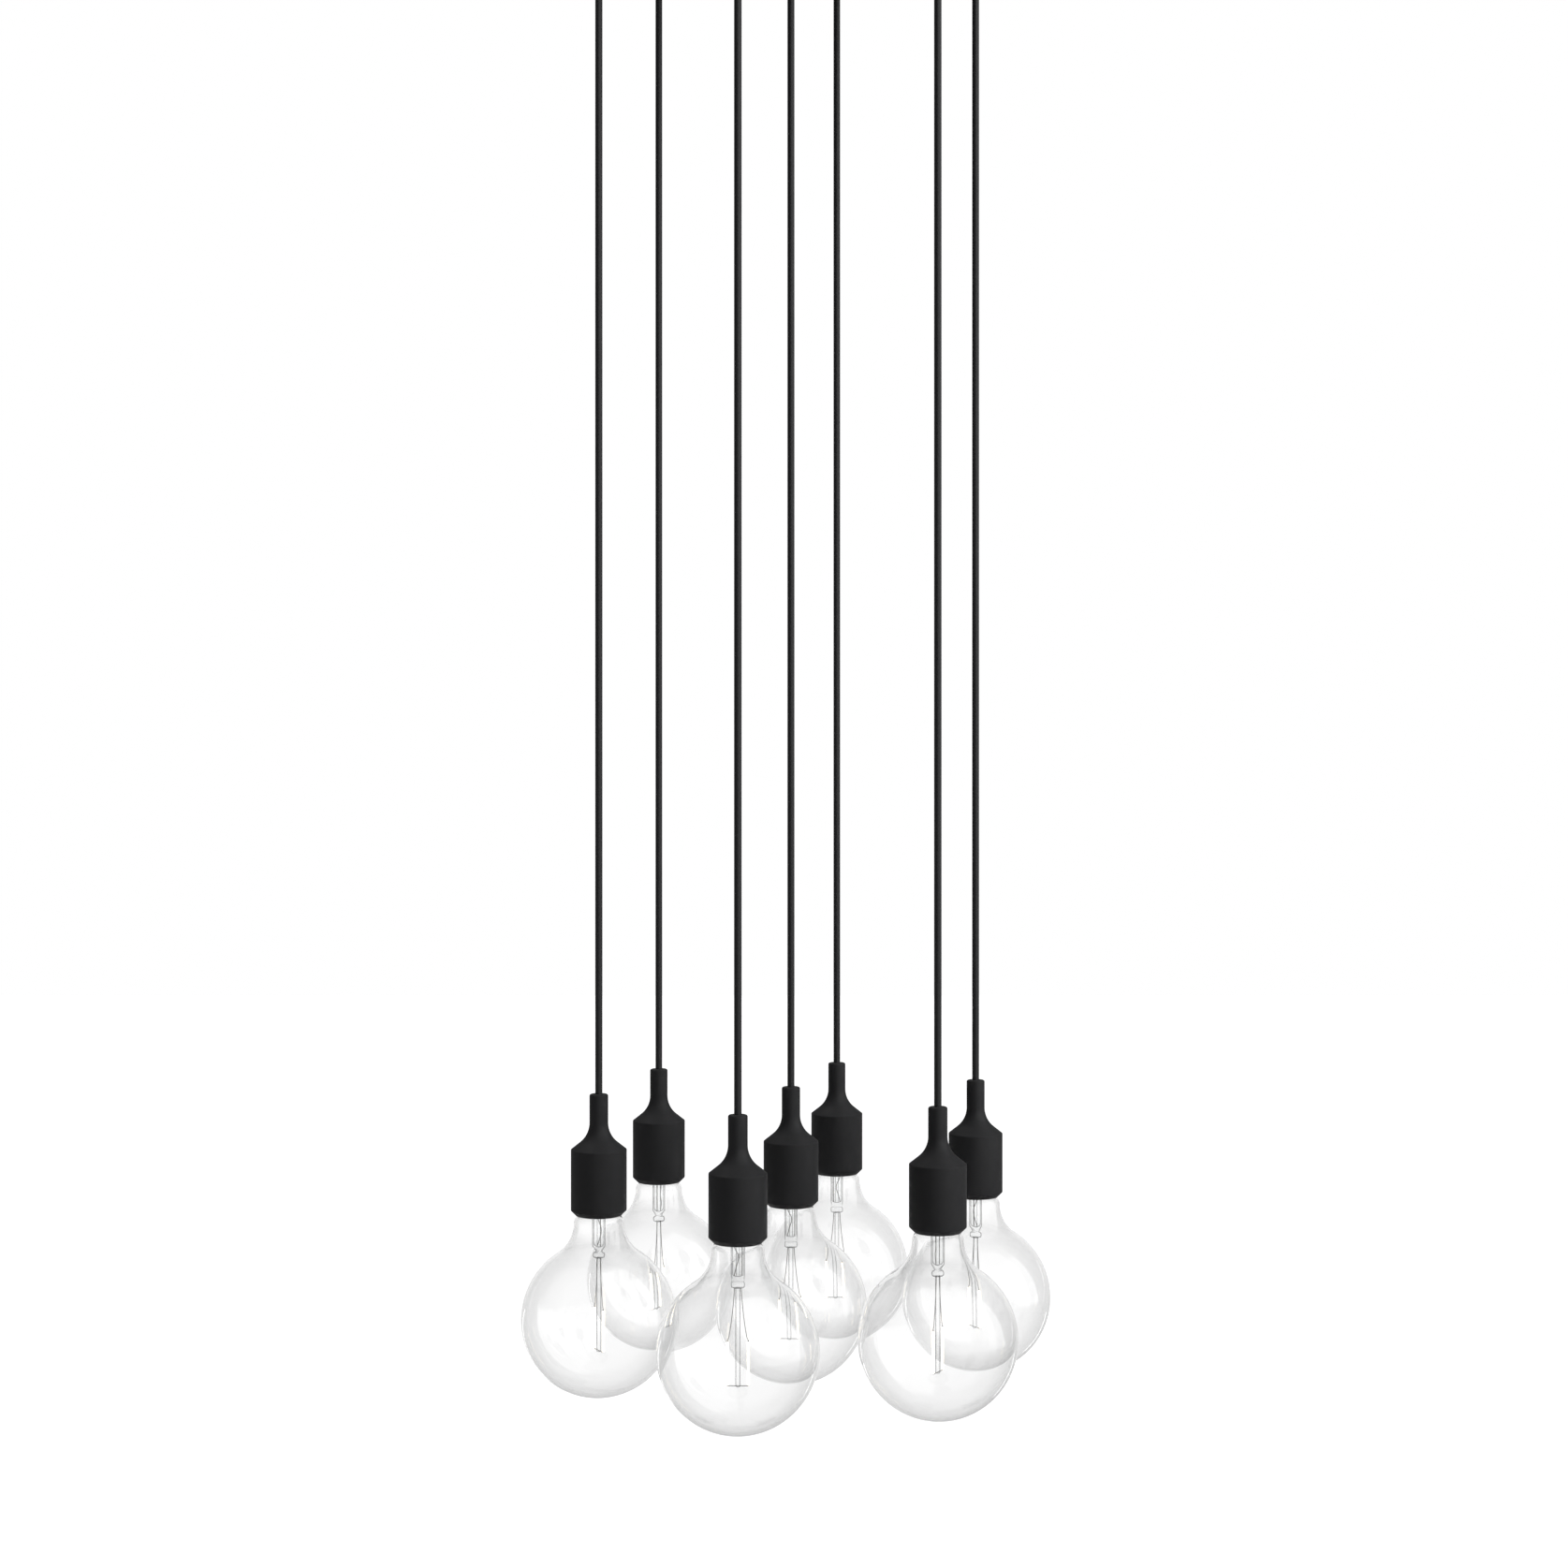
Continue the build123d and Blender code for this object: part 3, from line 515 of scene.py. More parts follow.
# Painted shade: the stem tube and rod are painted much darker at their slanting edges, in place of
# dark surroundings bent in the thick glass.
tube_glass = clear_glass(
    "stem tube glass", ((0.0, 1.0), (0.45, 0.98), (0.62, 0.66), (1.0, 0.28)), refracting_depth=0,
)
rod_glass = clear_glass(
    "stem rod glass", ((0.0, 1.0), (0.20, 0.98), (0.40, 0.68), (1.0, 0.42)), refracting_depth=0,
)
outside = [
    (STEM_TOP, FLARE_RADIUS, FLARE_RADIUS),
    (STEM_TOP - FLARE_EDGE, FLARE_RADIUS, FLARE_RADIUS),
]
for share in (0.15, 0.35, 0.55, 0.75, 0.9, 1.0):
    radius = FLARE_RADIUS + (STEM_RADIUS - FLARE_RADIUS) * math.sin(share * math.pi / 2)
    outside.append((STEM_TOP - FLARE_EDGE - FLARE_LENGTH * share, radius, radius))
outside.append((PINCH_TOP + PINCH_START, STEM_RADIUS, STEM_RADIUS))
for share in (0.15, 0.3, 0.45, 0.6, 0.75, 0.9):
    press = (1 - math.cos(share * math.pi)) / 2
    outside.append((
        PINCH_TOP + PINCH_START - PINCH_LENGTH * share, STEM_RADIUS - 0.0004 * press,
        STEM_RADIUS + (PINCH_HALF_DEPTH - STEM_RADIUS) * press,
    ))
outside += [
    (PINCH_Z, 0.0047, PINCH_HALF_DEPTH),
    (PINCH_Z - 0.0003, 0.0048, 0.0030),
    (PINCH_Z - 0.0008, 0.0052, 0.0043),
    (PINCH_Z - 0.0018, 0.0053, 0.0047),
    (PINCH_Z - 0.0034, 0.0053, 0.0047),
    (PINCH_Z - 0.0043, 0.0050, 0.0044),
    (BEAD_Z, 0.0040, 0.0034),
    (BEAD_Z, 0, 0),
]
bore = STEM_RADIUS - STEM_WALL
inside = [
    (PINCH_TOP - 0.0006, 0, 0),
    (PINCH_TOP - 0.0004, bore * 0.5, bore * 0.3),
    (PINCH_TOP + 0.0004, bore * 0.85, bore * 0.7),
    (PINCH_TOP + 0.0016, bore, bore * 0.95),
    (PINCH_TOP + 0.0030, bore, bore),
    (STEM_TOP - 0.0060, bore, bore),
    (STEM_TOP - 0.0030, bore + 0.0008, bore + 0.0008),
    (STEM_TOP, 0.0080, 0.0080),
]
stem_mesh = lofted(inside + outside, 48, tube_glass, "stem_tube")
pump_tube = turned(
    "pump_tube",
    [(0.0015, STEM_TOP), (0.0015, PINCH_TOP + 0.0002)],
    rod_glass, steps=24, closed=False,
)
rod_rings = [(ROD_TOP, 0, 0), (ROD_TOP, ROD_RADIUS, ROD_RADIUS)]
for n in range(1, 7):
    rod_rings.append((ROD_TOP + (ROD_END + 0.0010 - BEAD_Z) * n / 6, ROD_RADIUS, ROD_RADIUS))
rod_rings += [
    (ROD_END + 0.0003, ROD_RADIUS * 0.85, ROD_RADIUS * 0.85),
    (ROD_END, ROD_RADIUS * 0.5, ROD_RADIUS * 0.5),
    (ROD_END, 0, 0),
]
rod_mesh = lofted(rod_rings, 32, rod_glass, "stem_rod")
stem_whole = joined("stem", [stem_mesh, pump_tube, rod_mesh])
for number, turn in enumerate(lamp_turns, 1):
    stem = hang("stem", stem_whole, "bulb_turn", number, turn)
    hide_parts(f"bulb_mount_{number}")

# ---------------------------------------------------------------- wires
# Plated wires: two run down the stem, one of them slanting across, pass the
# pinch and reach out to the tops of the filaments, where each is welded in a
# small hook. A cross wire through the rod's end ties their lower ends.
WIRE_RADIUS = 0.0003
LEAD_X = 0.0030
PINCHED_X = 0.0028
HOOK_X = 0.0083
FILAMENT_X = 0.0080
FILAMENT_LOW = ROD_END + ROD_RADIUS - 0.0006
FILAMENT_LENGTH = 0.0330
FILAMENT_HIGH = FILAMENT_LOW + FILAMENT_LENGTH
SUPPORT_Z = FILAMENT_LOW - 0.0004


def bent_wire(name, points, radius, finish):
    """A round wire through soft bends, as a plain mesh."""
    line = bpy.data.curves.new(name, "CURVE")
    line.dimensions = "3D"
    line.bevel_depth = radius
    line.bevel_resolution = 2
    line.use_fill_caps = True
    line.resolution_u = 6
    spline = line.splines.new("NURBS")
    spline.points.add(len(points) - 1)
    for point, place in zip(spline.points, points):
        point.co = (*place, 1)
    spline.order_u = 3
    spline.use_endpoint_u = True
    holder = bpy.data.objects.new(name, line)
    bpy.context.scene.collection.objects.link(holder)
    mesh = bpy.data.meshes.new_from_object(
        holder.evaluated_get(bpy.context.evaluated_depsgraph_get())
    )
    bpy.data.objects.remove(holder)
    mesh.materials.clear()
    mesh.materials.append(finish)
    mesh.shade_smooth()
    return mesh


wire_metal = grained(
    shader("plated lead wire", (0.15, 0.145, 0.14), 0.35, metallic=1.0),
    grain=0.0002, cloud=0.004, depth=0.00001,
    dark=(0.10, 0.095, 0.09), light=(0.20, 0.19, 0.18), smooth=0.25, rough=0.45,
)
wires = [
    bent_wire("lead_a", [
        (LEAD_X, 0, STEM_TOP - 0.0010), (LEAD_X, 0, STEM_TOP - 0.0150),
        (LEAD_X, 0, PINCH_TOP + 0.0040), (PINCHED_X, 0, PINCH_TOP + 0.0003),
    ], WIRE_RADIUS, wire_metal),
    bent_wire("lead_b", [
        (-LEAD_X, 0.0004, STEM_TOP - 0.0010), (-0.0028, 0.0006, STEM_TOP - 0.0100),
        (0.0014, 0.0022, STEM_TOP - 0.0170), (-0.0016, 0.0018, PINCH_TOP + 0.0060),
        (-PINCHED_X, 0, PINCH_TOP + 0.0003),
    ], WIRE_RADIUS, wire_metal),
]
for side in (-1, 1):
    wires.append(bent_wire("lead_out", [
        (side * 0.0026, 0, BEAD_Z - 0.0001), (side * 0.0029, 0, BEAD_Z - 0.0060),
        (side * 0.0044, 0, BEAD_Z - 0.0220), (side * 0.0066, 0, FILAMENT_HIGH + 0.0045),
        (side * 0.0071, 0, FILAMENT_HIGH + 0.0028), (side * 0.0080, 0, FILAMENT_HIGH + 0.0016),
        (side * FILAMENT_X, 0, FILAMENT_HIGH + 0.0001),
    ], WIRE_RADIUS * 0.85, wire_metal))
    wires.append(lofted([
        (FILAMENT_HIGH + 0.0012, 0, 0), (FILAMENT_HIGH + 0.0011, 0.0004, 0.0004),
        (FILAMENT_HIGH + 0.0001, 0.0005, 0.0005), (FILAMENT_HIGH + 0.0001, 0, 0),
    ], 10, wire_metal, "weld"))
    wires[-1].transform(Matrix.Translation((side * FILAMENT_X, 0, 0)))
wires.append(bent_wire("cross_wire", [
    (-HOOK_X, 0, SUPPORT_Z + 0.0010), (-HOOK_X, 0, SUPPORT_Z + 0.0002),
    (-HOOK_X + 0.0007, 0, SUPPORT_Z), (-0.0030, 0, SUPPORT_Z),
    (0.0030, 0, SUPPORT_Z), (HOOK_X - 0.0007, 0, SUPPORT_Z),
    (HOOK_X, 0, SUPPORT_Z + 0.0002), (HOOK_X, 0, SUPPORT_Z + 0.0010),
], WIRE_RADIUS, wire_metal))
wires_whole = joined("lamp_wires", wires)
for number, turn in enumerate(lamp_turns, 1):
    piece = hang("lamp_wires", wires_whole, "bulb_turn", number, turn)
    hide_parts(f"bulb_mount_{number}")

# ---------------------------------------------------------------- filaments
# Two upright strips in each bulb: rows of tiny lamp chips on a thin carrier,
# dipped in a soft yellow coating that glows nearly white when lit.
CHIPS = 26
BEAD_RADIUS = 0.00088
CORE_RADIUS = 0.00082
CORE_OVERHANG = 0.0006
FILAMENT_GAP = 0.0009


def filament_tree():
    """A row of beads along Z, joined with the rod that they melt into."""
    tree = bpy.data.node_groups.new("filament strip", "GeometryNodeTree")
    face = tree.interface
    face.new_socket("Rod", in_out="INPUT", socket_type="NodeSocketGeometry")
    face.new_socket("Beads", in_out="INPUT", socket_type="NodeSocketInt")
    face.new_socket("Length", in_out="INPUT", socket_type="NodeSocketFloat")
    face.new_socket("Bead radius", in_out="INPUT", socket_type="NodeSocketFloat")
    face.new_socket("Finish", in_out="INPUT", socket_type="NodeSocketMaterial")
    face.new_socket("Strip", in_out="OUTPUT", socket_type="NodeSocketGeometry")
    nodes, links = tree.nodes, tree.links
    given = nodes.new("NodeGroupInput")
    out = nodes.new("NodeGroupOutput")
    row = nodes.new("GeometryNodeMeshLine")
    row.mode = "END_POINTS"
    top = nodes.new("ShaderNodeCombineXYZ")
    bead = nodes.new("GeometryNodeMeshUVSphere")
    bead.inputs["Segments"].default_value = 16
    bead.inputs["Rings"].default_value = 6
    stretch = nodes.new("GeometryNodeTransform")
    stretch.inputs["Scale"].default_value = (1, 1, 1.15)
    strew = nodes.new("GeometryNodeInstanceOnPoints")
    both = nodes.new("GeometryNodeJoinGeometry")
    real = nodes.new("GeometryNodeRealizeInstances")
    smooth = nodes.new("GeometryNodeSetShadeSmooth")
    coat = nodes.new("GeometryNodeSetMaterial")
    links.new(given.outputs["Length"], top.inputs["Z"])
    links.new(top.outputs[0], row.inputs["Offset"])
    links.new(given.outputs["Beads"], row.inputs["Count"])
    links.new(given.outputs["Bead radius"], bead.inputs["Radius"])
    links.new(bead.outputs["Mesh"], stretch.inputs["Geometry"])
    links.new(row.outputs["Mesh"], strew.inputs["Points"])
    links.new(stretch.outputs["Geometry"], strew.inputs["Instance"])
    links.new(strew.outputs["Instances"], both.inputs["Geometry"])
    links.new(given.outputs["Rod"], both.inputs["Geometry"])
    links.new(both.outputs["Geometry"], real.inputs["Geometry"])
    links.new(real.outputs["Geometry"], smooth.inputs["Geometry"])
    links.new(smooth.outputs["Geometry"], coat.inputs["Geometry"])
    links.new(given.outputs["Finish"], coat.inputs["Material"])
    links.new(coat.outputs["Geometry"], out.inputs["Strip"])
    return tree


filament_coat = shader("filament coating", (0.95, 0.72, 0.30), 0.6)
glow = filament_coat.node_tree.nodes["Principled BSDF"]
glow.inputs["Emission Strength"].default_value = 3.2
nodes, links = filament_coat.node_tree.nodes, filament_coat.node_tree.links
facing = nodes.new("ShaderNodeLayerWeight")
facing.inputs["Blend"].default_value = 0.4
warm = nodes.new("ShaderNodeMix")
warm.data_type = "RGBA"
warm.inputs[6].default_value = (1.0, 0.95, 0.84, 1.0)
warm.inputs[7].default_value = (1.0, 0.86, 0.60, 1.0)
links.new(facing.outputs["Facing"], warm.inputs[0])
links.new(warm.outputs[2], glow.inputs["Emission Color"])
strip_length = FILAMENT_HIGH - FILAMENT_LOW - 2 * FILAMENT_GAP
core = lofted([
    (strip_length + CORE_OVERHANG, 0, 0), (strip_length + CORE_OVERHANG, CORE_RADIUS, CORE_RADIUS),
    (-CORE_OVERHANG, CORE_RADIUS, CORE_RADIUS), (-CORE_OVERHANG, 0, 0),
], 16, filament_coat, "filament_core")
strip = run_tree(
    filament_tree(), "filament", core, **{
        "Beads": CHIPS, "Length": strip_length, "Bead radius": BEAD_RADIUS, "Finish": filament_coat,
    },
)
strips = []
for side in (-1, 1):
    copy = strip.copy()
    copy.transform(Matrix.Translation((side * FILAMENT_X, 0, FILAMENT_LOW + FILAMENT_GAP)))
    strips.append(copy)
filaments = joined("filaments", strips)
for number, turn in enumerate(lamp_turns, 1):
    piece = hang("filaments", filaments, "bulb_turn", number, turn)
    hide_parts(f"bulb_mount_{number}")

# ---------------------------------------------------------------- screw caps
# Nickel-plated sheet rolled into the 27 mm thread, with a black glass insulator
# and a tinned contact at its top. The holder hides it until the bulb comes out.
INSULATOR_LOW = CAP_TIP - 0.0037
CONTACT_LOW = CAP_TIP - 0.0007


def dress(node, finish):
    """Gives a carried-over solid its finish."""
    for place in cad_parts[node].material_slots:
        place.material = finish


def height_mask(material, start, end):
    """1 between two heights of the piece, and 0 elsewhere."""
    nodes, links = material.node_tree.nodes, material.node_tree.links
    place = nodes.new("ShaderNodeTexCoord")
    parts = nodes.new("ShaderNodeSeparateXYZ")
    links.new(place.outputs["Object"], parts.inputs[0])
    above = worked(nodes, links, "GREATER_THAN", parts.outputs["Z"], start)
    below = worked(nodes, links, "LESS_THAN", parts.outputs["Z"], end)
    return worked(nodes, links, "MULTIPLY", above, below)


def laid_over(material, mask, socket, value):
    """Changes one socket of a material where a mask is 1."""
    nodes, links = material.node_tree.nodes, material.node_tree.links
    target = nodes["Principled BSDF"].inputs[socket]
    over = nodes.new("ShaderNodeMix")
    over.data_type = "RGBA" if socket == "Base Color" else "FLOAT"
    first, last = (6, 7) if socket == "Base Color" else (2, 3)
    if target.links:
        links.new(target.links[0].from_socket, over.inputs[first])
    else:
        over.inputs[first].default_value = target.default_value
    over.inputs[last].default_value = value
    links.new(mask, over.inputs[0])
    links.new(over.outputs[2 if socket == "Base Color" else 0], target)


cap_metal = grained(
    shader("nickelled cap", (0.72, 0.70, 0.66), 0.25, metallic=1.0),
    grain=0.0003, cloud=0.006, depth=0.00001,
    dark=(0.62, 0.60, 0.57), light=(0.78, 0.76, 0.72), smooth=0.18, rough=0.34,
)
insulating = height_mask(cap_metal, INSULATOR_LOW, CONTACT_LOW)
laid_over(cap_metal, insulating, "Base Color", (0.012, 0.011, 0.012, 1.0))
laid_over(cap_metal, insulating, "Metallic", 0.0)
laid_over(cap_metal, insulating, "Roughness", 0.12)
for number in pendants:
    dress(f"bulb_cap_{number}", cap_metal)

# ---------------------------------------------------------------- lampholders
# Heat-resistant black mouldings that the covers are pulled over, each with an
# insulating plate for the contacts across its inside.
holder_plastic = grained(
    shader("heat-resistant moulding", (0.02, 0.02, 0.021), 0.38),
    grain=0.0006, cloud=0.015, depth=0.00002,
    dark=(0.014, 0.014, 0.015), light=(0.028, 0.028, 0.029), smooth=0.30, rough=0.46,
)
for number in pendants:
    dress(f"lampholder_{number}", holder_plastic)

# ---------------------------------------------------------------- holder contacts
# Pressed brass: a threaded sleeve, a springy tongue for the bulb's tip and the
# two posts that the cores are clamped in.
pressed_brass = grained(
    shader("pressed brass", (0.72, 0.56, 0.28), 0.28, metallic=1.0),
    grain=0.0003, cloud=0.005, depth=0.00001,
    dark=(0.58, 0.43, 0.20), light=(0.80, 0.64, 0.34), smooth=0.20, rough=0.42,
)
for number in pendants:
    dress(f"holder_contacts_{number}", pressed_brass)

# ---------------------------------------------------------------- canopy
# A shallow round pan, spun from sheet steel and powder coated matt black. Seven
# holes in its floor take the cord grips.
powder_coat = grained(
    shader("matt black powder coat", (0.012, 0.012, 0.013), 0.5),
    grain=0.0009, cloud=0.05, depth=0.00006,
    dark=(0.010, 0.010, 0.011), light=(0.018, 0.018, 0.019), smooth=0.42, rough=0.58,
)
dress("canopy_shell", powder_coat)

# ---------------------------------------------------------------- ceiling bracket
# A folded strap of zinc-plated steel, screwed to the ceiling through its slots;
# the canopy is fixed to its two ears.
zinc_plate = grained(
    shader("zinc plate", (0.60, 0.61, 0.63), 0.34, metallic=1.0),
    grain=0.0005, cloud=0.008, depth=0.00001,
    dark=(0.48, 0.49, 0.51), light=(0.70, 0.71, 0.72), smooth=0.26, rough=0.46,
    stretch=(0.25, 1, 1),
)
dress("ceiling_bracket", zinc_plate)

# ---------------------------------------------------------------- fixing screws
# Plated steel screws: those that hold the canopy to the bracket's ears, and the
# earth screw.
screw_plate = grained(
    shader("plated screws", (0.66, 0.67, 0.68), 0.24, metallic=1.0),
    grain=0.0002, cloud=0.003, depth=0.000006,
    dark=(0.55, 0.56, 0.57), light=(0.74, 0.75, 0.76), smooth=0.18, rough=0.34,
)
dress("fixing_screws", screw_plate)

# ---------------------------------------------------------------- cord grips
# Turned black plastic grips, one in each hole of the canopy, with a bell mouth
# below so that the cord can swing without a kink.
grip_plastic = grained(
    shader("black grip plastic", (0.018, 0.018, 0.019), 0.4),
    grain=0.0005, cloud=0.01, depth=0.00002,
    dark=(0.014, 0.014, 0.015), light=(0.024, 0.024, 0.025), smooth=0.34, rough=0.48,
)
dress("cord_grips", grip_plastic)

# ---------------------------------------------------------------- grip nuts
# Six-sided nylon nuts that draw each grip tight against the canopy's floor.
nut_nylon = grained(
    shader("black nylon", (0.026, 0.026, 0.027), 0.45),
    grain=0.0004, cloud=0.007, depth=0.00002,
    dark=(0.020, 0.020, 0.021), light=(0.034, 0.034, 0.035), smooth=0.38, rough=0.55,
)
dress("grip_locknuts", nut_nylon)

# ---------------------------------------------------------------- clamp screws
# A small plated screw across each grip pinches its cord and carries the weight
# of the pendant.
dress("grip_clamp_screws", screw_plate)

# ---------------------------------------------------------------- terminal block
# A moulded white housing on the bracket, with a row of openings for the wires
# and for the screwdriver.
block_plastic = grained(
    shader("white moulding", (0.72, 0.71, 0.67), 0.42),
    grain=0.0006, cloud=0.02, depth=0.00002,
    dark=(0.66, 0.65, 0.60), light=(0.76, 0.75, 0.72), smooth=0.36, rough=0.50,
)
dress("terminal_block", block_plastic)

# ---------------------------------------------------------------- terminal clamps
# Machined brass blocks with two screws each, tied into two poles by brass combs.
clamp_brass = grained(
    shader("machined brass", (0.78, 0.60, 0.27), 0.24, metallic=1.0),
    grain=0.0002, cloud=0.004, depth=0.000008,
    dark=(0.68, 0.50, 0.21), light=(0.84, 0.67, 0.33), smooth=0.16, rough=0.34,
    stretch=(1, 0.2, 1),
)
dress("terminal_clamps", clamp_brass)

# ---------------------------------------------------------------- cord tails
# The ends of the same black cords, led over the canopy's floor to the block.
dress("cord_tails", cord_sheath)

# ---------------------------------------------------------------- cord cores
# The two insulated cores of each cord, bared of their sheath at the block.
core_sleeve = grained(
    shader("brown core sleeve", (0.14, 0.055, 0.025), 0.4),
    grain=0.0004, cloud=0.008, depth=0.000015,
    dark=(0.11, 0.042, 0.019), light=(0.18, 0.072, 0.033), smooth=0.34, rough=0.46,
)
dress("cord_cores", core_sleeve)

# ---------------------------------------------------------------- earth lead
# A green and yellow wire with a plated ring tag at each end, between the
# bracket's screw and the stud on the canopy's floor.
TAG_REACH = 0.0032
STRIPE_SCALE = 130.0
earth_sleeve = grained(
    shader("green and yellow sleeve", (0.05, 0.25, 0.04), 0.4),
    grain=0.0004, cloud=0.006, depth=0.000015,
    dark=(0.035, 0.20, 0.03), light=(0.06, 0.29, 0.05), smooth=0.34, rough=0.46,
)
nodes, links = earth_sleeve.node_tree.nodes, earth_sleeve.node_tree.links
place = nodes.new("ShaderNodeTexCoord")
stripe = nodes.new("ShaderNodeTexWave")
stripe.wave_type = "BANDS"
stripe.bands_direction = "X"
stripe.inputs["Scale"].default_value = STRIPE_SCALE
links.new(place.outputs["Object"], stripe.inputs["Vector"])
yellow = worked(nodes, links, "GREATER_THAN", stripe.outputs["Fac"], 0.5)
laid_over(earth_sleeve, yellow, "Base Color", (0.62, 0.50, 0.03, 1.0))
low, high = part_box("earth_lead")
for start, end in ((high.z - TAG_REACH, 0.001), (low.z - 0.001, low.z + TAG_REACH)):
    tag = height_mask(earth_sleeve, start, end)
    laid_over(earth_sleeve, tag, "Base Color", (0.66, 0.67, 0.68, 1.0))
    laid_over(earth_sleeve, tag, "Metallic", 1.0)
dress("earth_lead", earth_sleeve)

# ---------------------------------------------------------------- studio
# A white paper floor far below the lamp and a white surround. The studio is
# dim at the sides behind the lamp and bright before it, with a tall soft box
# to the left and one to the right, which clear glass mirrors.
BOX_LEVEL = 1.4
STREAK_LEVEL = 2.2
FLOOR_Z = -2.4
FLOOR_HALF = 14
FLOOR_GLOW = 0.9
DIM_LEVEL = 0.06
OVERHEAD_LEVEL = 0.9
LEFT_LEVEL = 0.12
RIGHT_LEVEL = 2.2
FILL_LEVEL = 0.30
AIM = (0, 0, -1.15)

# The room's brightness along its depth: 0 is behind the camera, 0.5 beside the
# lamp and 1 straight behind it.
ROOM_LEVELS = (
    (0.0, 0.80), (0.09, 0.84), (0.23, 0.84), (0.385, 0.60), (0.5, 0.50), (0.5775, 0.28),
    (0.64, 0.16), (0.7225, 0.20), (0.792, 0.28), (0.8835, 0.52), (0.96, 0.92), (0.985, 1.0),
)
# Two slanting strip lights behind the lamp: place across, lean, lowest and
# highest direction.
STREAKS = ((-0.97, -1.39, -0.42, -0.12), (0.994, 0.49, -0.55, -0.30))
# Both soft boxes: side, rear edge, lean of that edge, and where each fades out
# below and above.
BOXES = (
    ("Left box", -1.0, 0.17, 0.46, (-0.95, -0.85), (0.30, 0.05)),
    ("Right box", 1.0, 0.28, -0.20, (-0.20, -0.12), (0.80, 0.65)),
)


def studio_light():
    """How bright the studio is in one direction: the room, and each soft box as a mask."""
    group = bpy.data.node_groups.new("studio light", "ShaderNodeTree")
    face = group.interface
    face.new_socket("Direction", in_out="INPUT", socket_type="NodeSocketVector")
    for name in ("Room", "Left box", "Right box", "Overhead"):
        face.new_socket(name, in_out="OUTPUT", socket_type="NodeSocketFloat")
    nodes, links = group.nodes, group.links
    given = nodes.new("NodeGroupInput")
    out = nodes.new("NodeGroupOutput")
    parts = nodes.new("ShaderNodeSeparateXYZ")
    links.new(given.outputs["Direction"], parts.inputs[0])
    across, ahead, up = parts.outputs[0], parts.outputs[1], parts.outputs[2]

    def faded(value, start, end):
        step = nodes.new("ShaderNodeMapRange")
        step.interpolation_type = "SMOOTHSTEP"
        step.inputs["From Min"].default_value = min(start, end)
        step.inputs["From Max"].default_value = max(start, end)
        step.inputs["To Min"].default_value = 0.0 if start < end else 1.0
        step.inputs["To Max"].default_value = 1.0 if start < end else 0.0
        links.new(value, step.inputs["Value"])
        return step.outputs[0]

    def times(first, second):
        return worked(nodes, links, "MULTIPLY", first, second)

    def less(first, second):
        return worked(nodes, links, "SUBTRACT", first, second)

    room = nodes.new("ShaderNodeValToRGB")
    ramp = room.color_ramp.elements
    ramp[0].position, ramp[1].position = ROOM_LEVELS[0][0], ROOM_LEVELS[-1][0]
    for place, _ in ROOM_LEVELS[1:-1]:
        ramp.new(place)
    for stop, (_, level) in zip(ramp, ROOM_LEVELS):
        stop.color = (level, level, level, 1.0)
    links.new(worked(nodes, links, "ADD", times(ahead, 0.5), 0.5), room.inputs["Fac"])
    links.new(faded(up, 0.55, 0.80), out.inputs["Overhead"])
    level = room.outputs["Color"]
    ratio = worked(nodes, links, "DIVIDE", across, worked(nodes, links, "MAXIMUM", ahead, 0.01))
    for start, lean, low, high in STREAKS:
        away = less(less(ratio, start), times(up, lean))
        line = worked(nodes, links, "ABSOLUTE", away, 0.0)
        thin = times(faded(line, 0.035, 0.02), faded(ahead, 0.3, 0.4))
        long = times(faded(up, low - 0.03, low), faded(up, high + 0.03, high))
        level = worked(nodes, links, "ADD", level, times(times(thin, long), STREAK_LEVEL))
    links.new(level, out.inputs["Room"])
    for name, side, edge, lean, low, high in BOXES:
        past = less(ahead, times(up, lean))
        beside = faded(times(across, side), 0.0, 0.05)
        tall = times(faded(up, *low), faded(up, *high))
        mask = times(faded(past, edge + 0.02, edge - 0.02), times(beside, tall))
        links.new(mask, out.inputs[name])
    return group


studio = studio_light()


def chosen(nodes, links, mask, otherwise, value):
    """A value where a mask is 1, and another elsewhere; either may be a plain number."""
    step = nodes.new("ShaderNodeMix")
    links.new(mask, step.inputs[0])
    for socket, given in ((step.inputs[2], otherwise), (step.inputs[3], value)):
        if isinstance(given, float):
            socket.default_value = given
        else:
            links.new(given, socket)
    return step.outputs[0]


def mirrored(nodes, links, direction):
    """What clear glass mirrors in a direction: the room with both soft boxes in it."""
    light = nodes.new("ShaderNodeGroup")
    light.node_tree = studio
    links.new(direction, light.inputs["Direction"])
    level = light.outputs["Room"]
    for name in ("Left box", "Right box"):
        level = chosen(nodes, links, light.outputs[name], level, BOX_LEVEL)
    return light, level


def mirror_ray(nodes, links, ray):
    """1 on a line of sight that smooth glass has mirrored at least once, and 0 elsewhere."""
    once = worked(nodes, links, "MINIMUM", ray.outputs["Glossy Depth"], 1.0)
    return worked(nodes, links, "MULTIPLY", ray.outputs["Is Singular Ray"], once)


floor_mesh = bpy.data.meshes.new("studio_floor")
corners = [(x * FLOOR_HALF, y * FLOOR_HALF, FLOOR_Z) for x, y in ((-1, -1), (1, -1), (1, 1), (-1, 1))]
floor_mesh.from_pydata(corners, [], [(0, 1, 2, 3)])
floor = bpy.data.objects.new("studio_floor", floor_mesh)
bpy.context.scene.collection.objects.link(floor)
paper = shader("white paper", (0.75, 0.75, 0.75), 0.9)
nodes, links = paper.node_tree.nodes, paper.node_tree.links
ray = nodes.new("ShaderNodeLightPath")
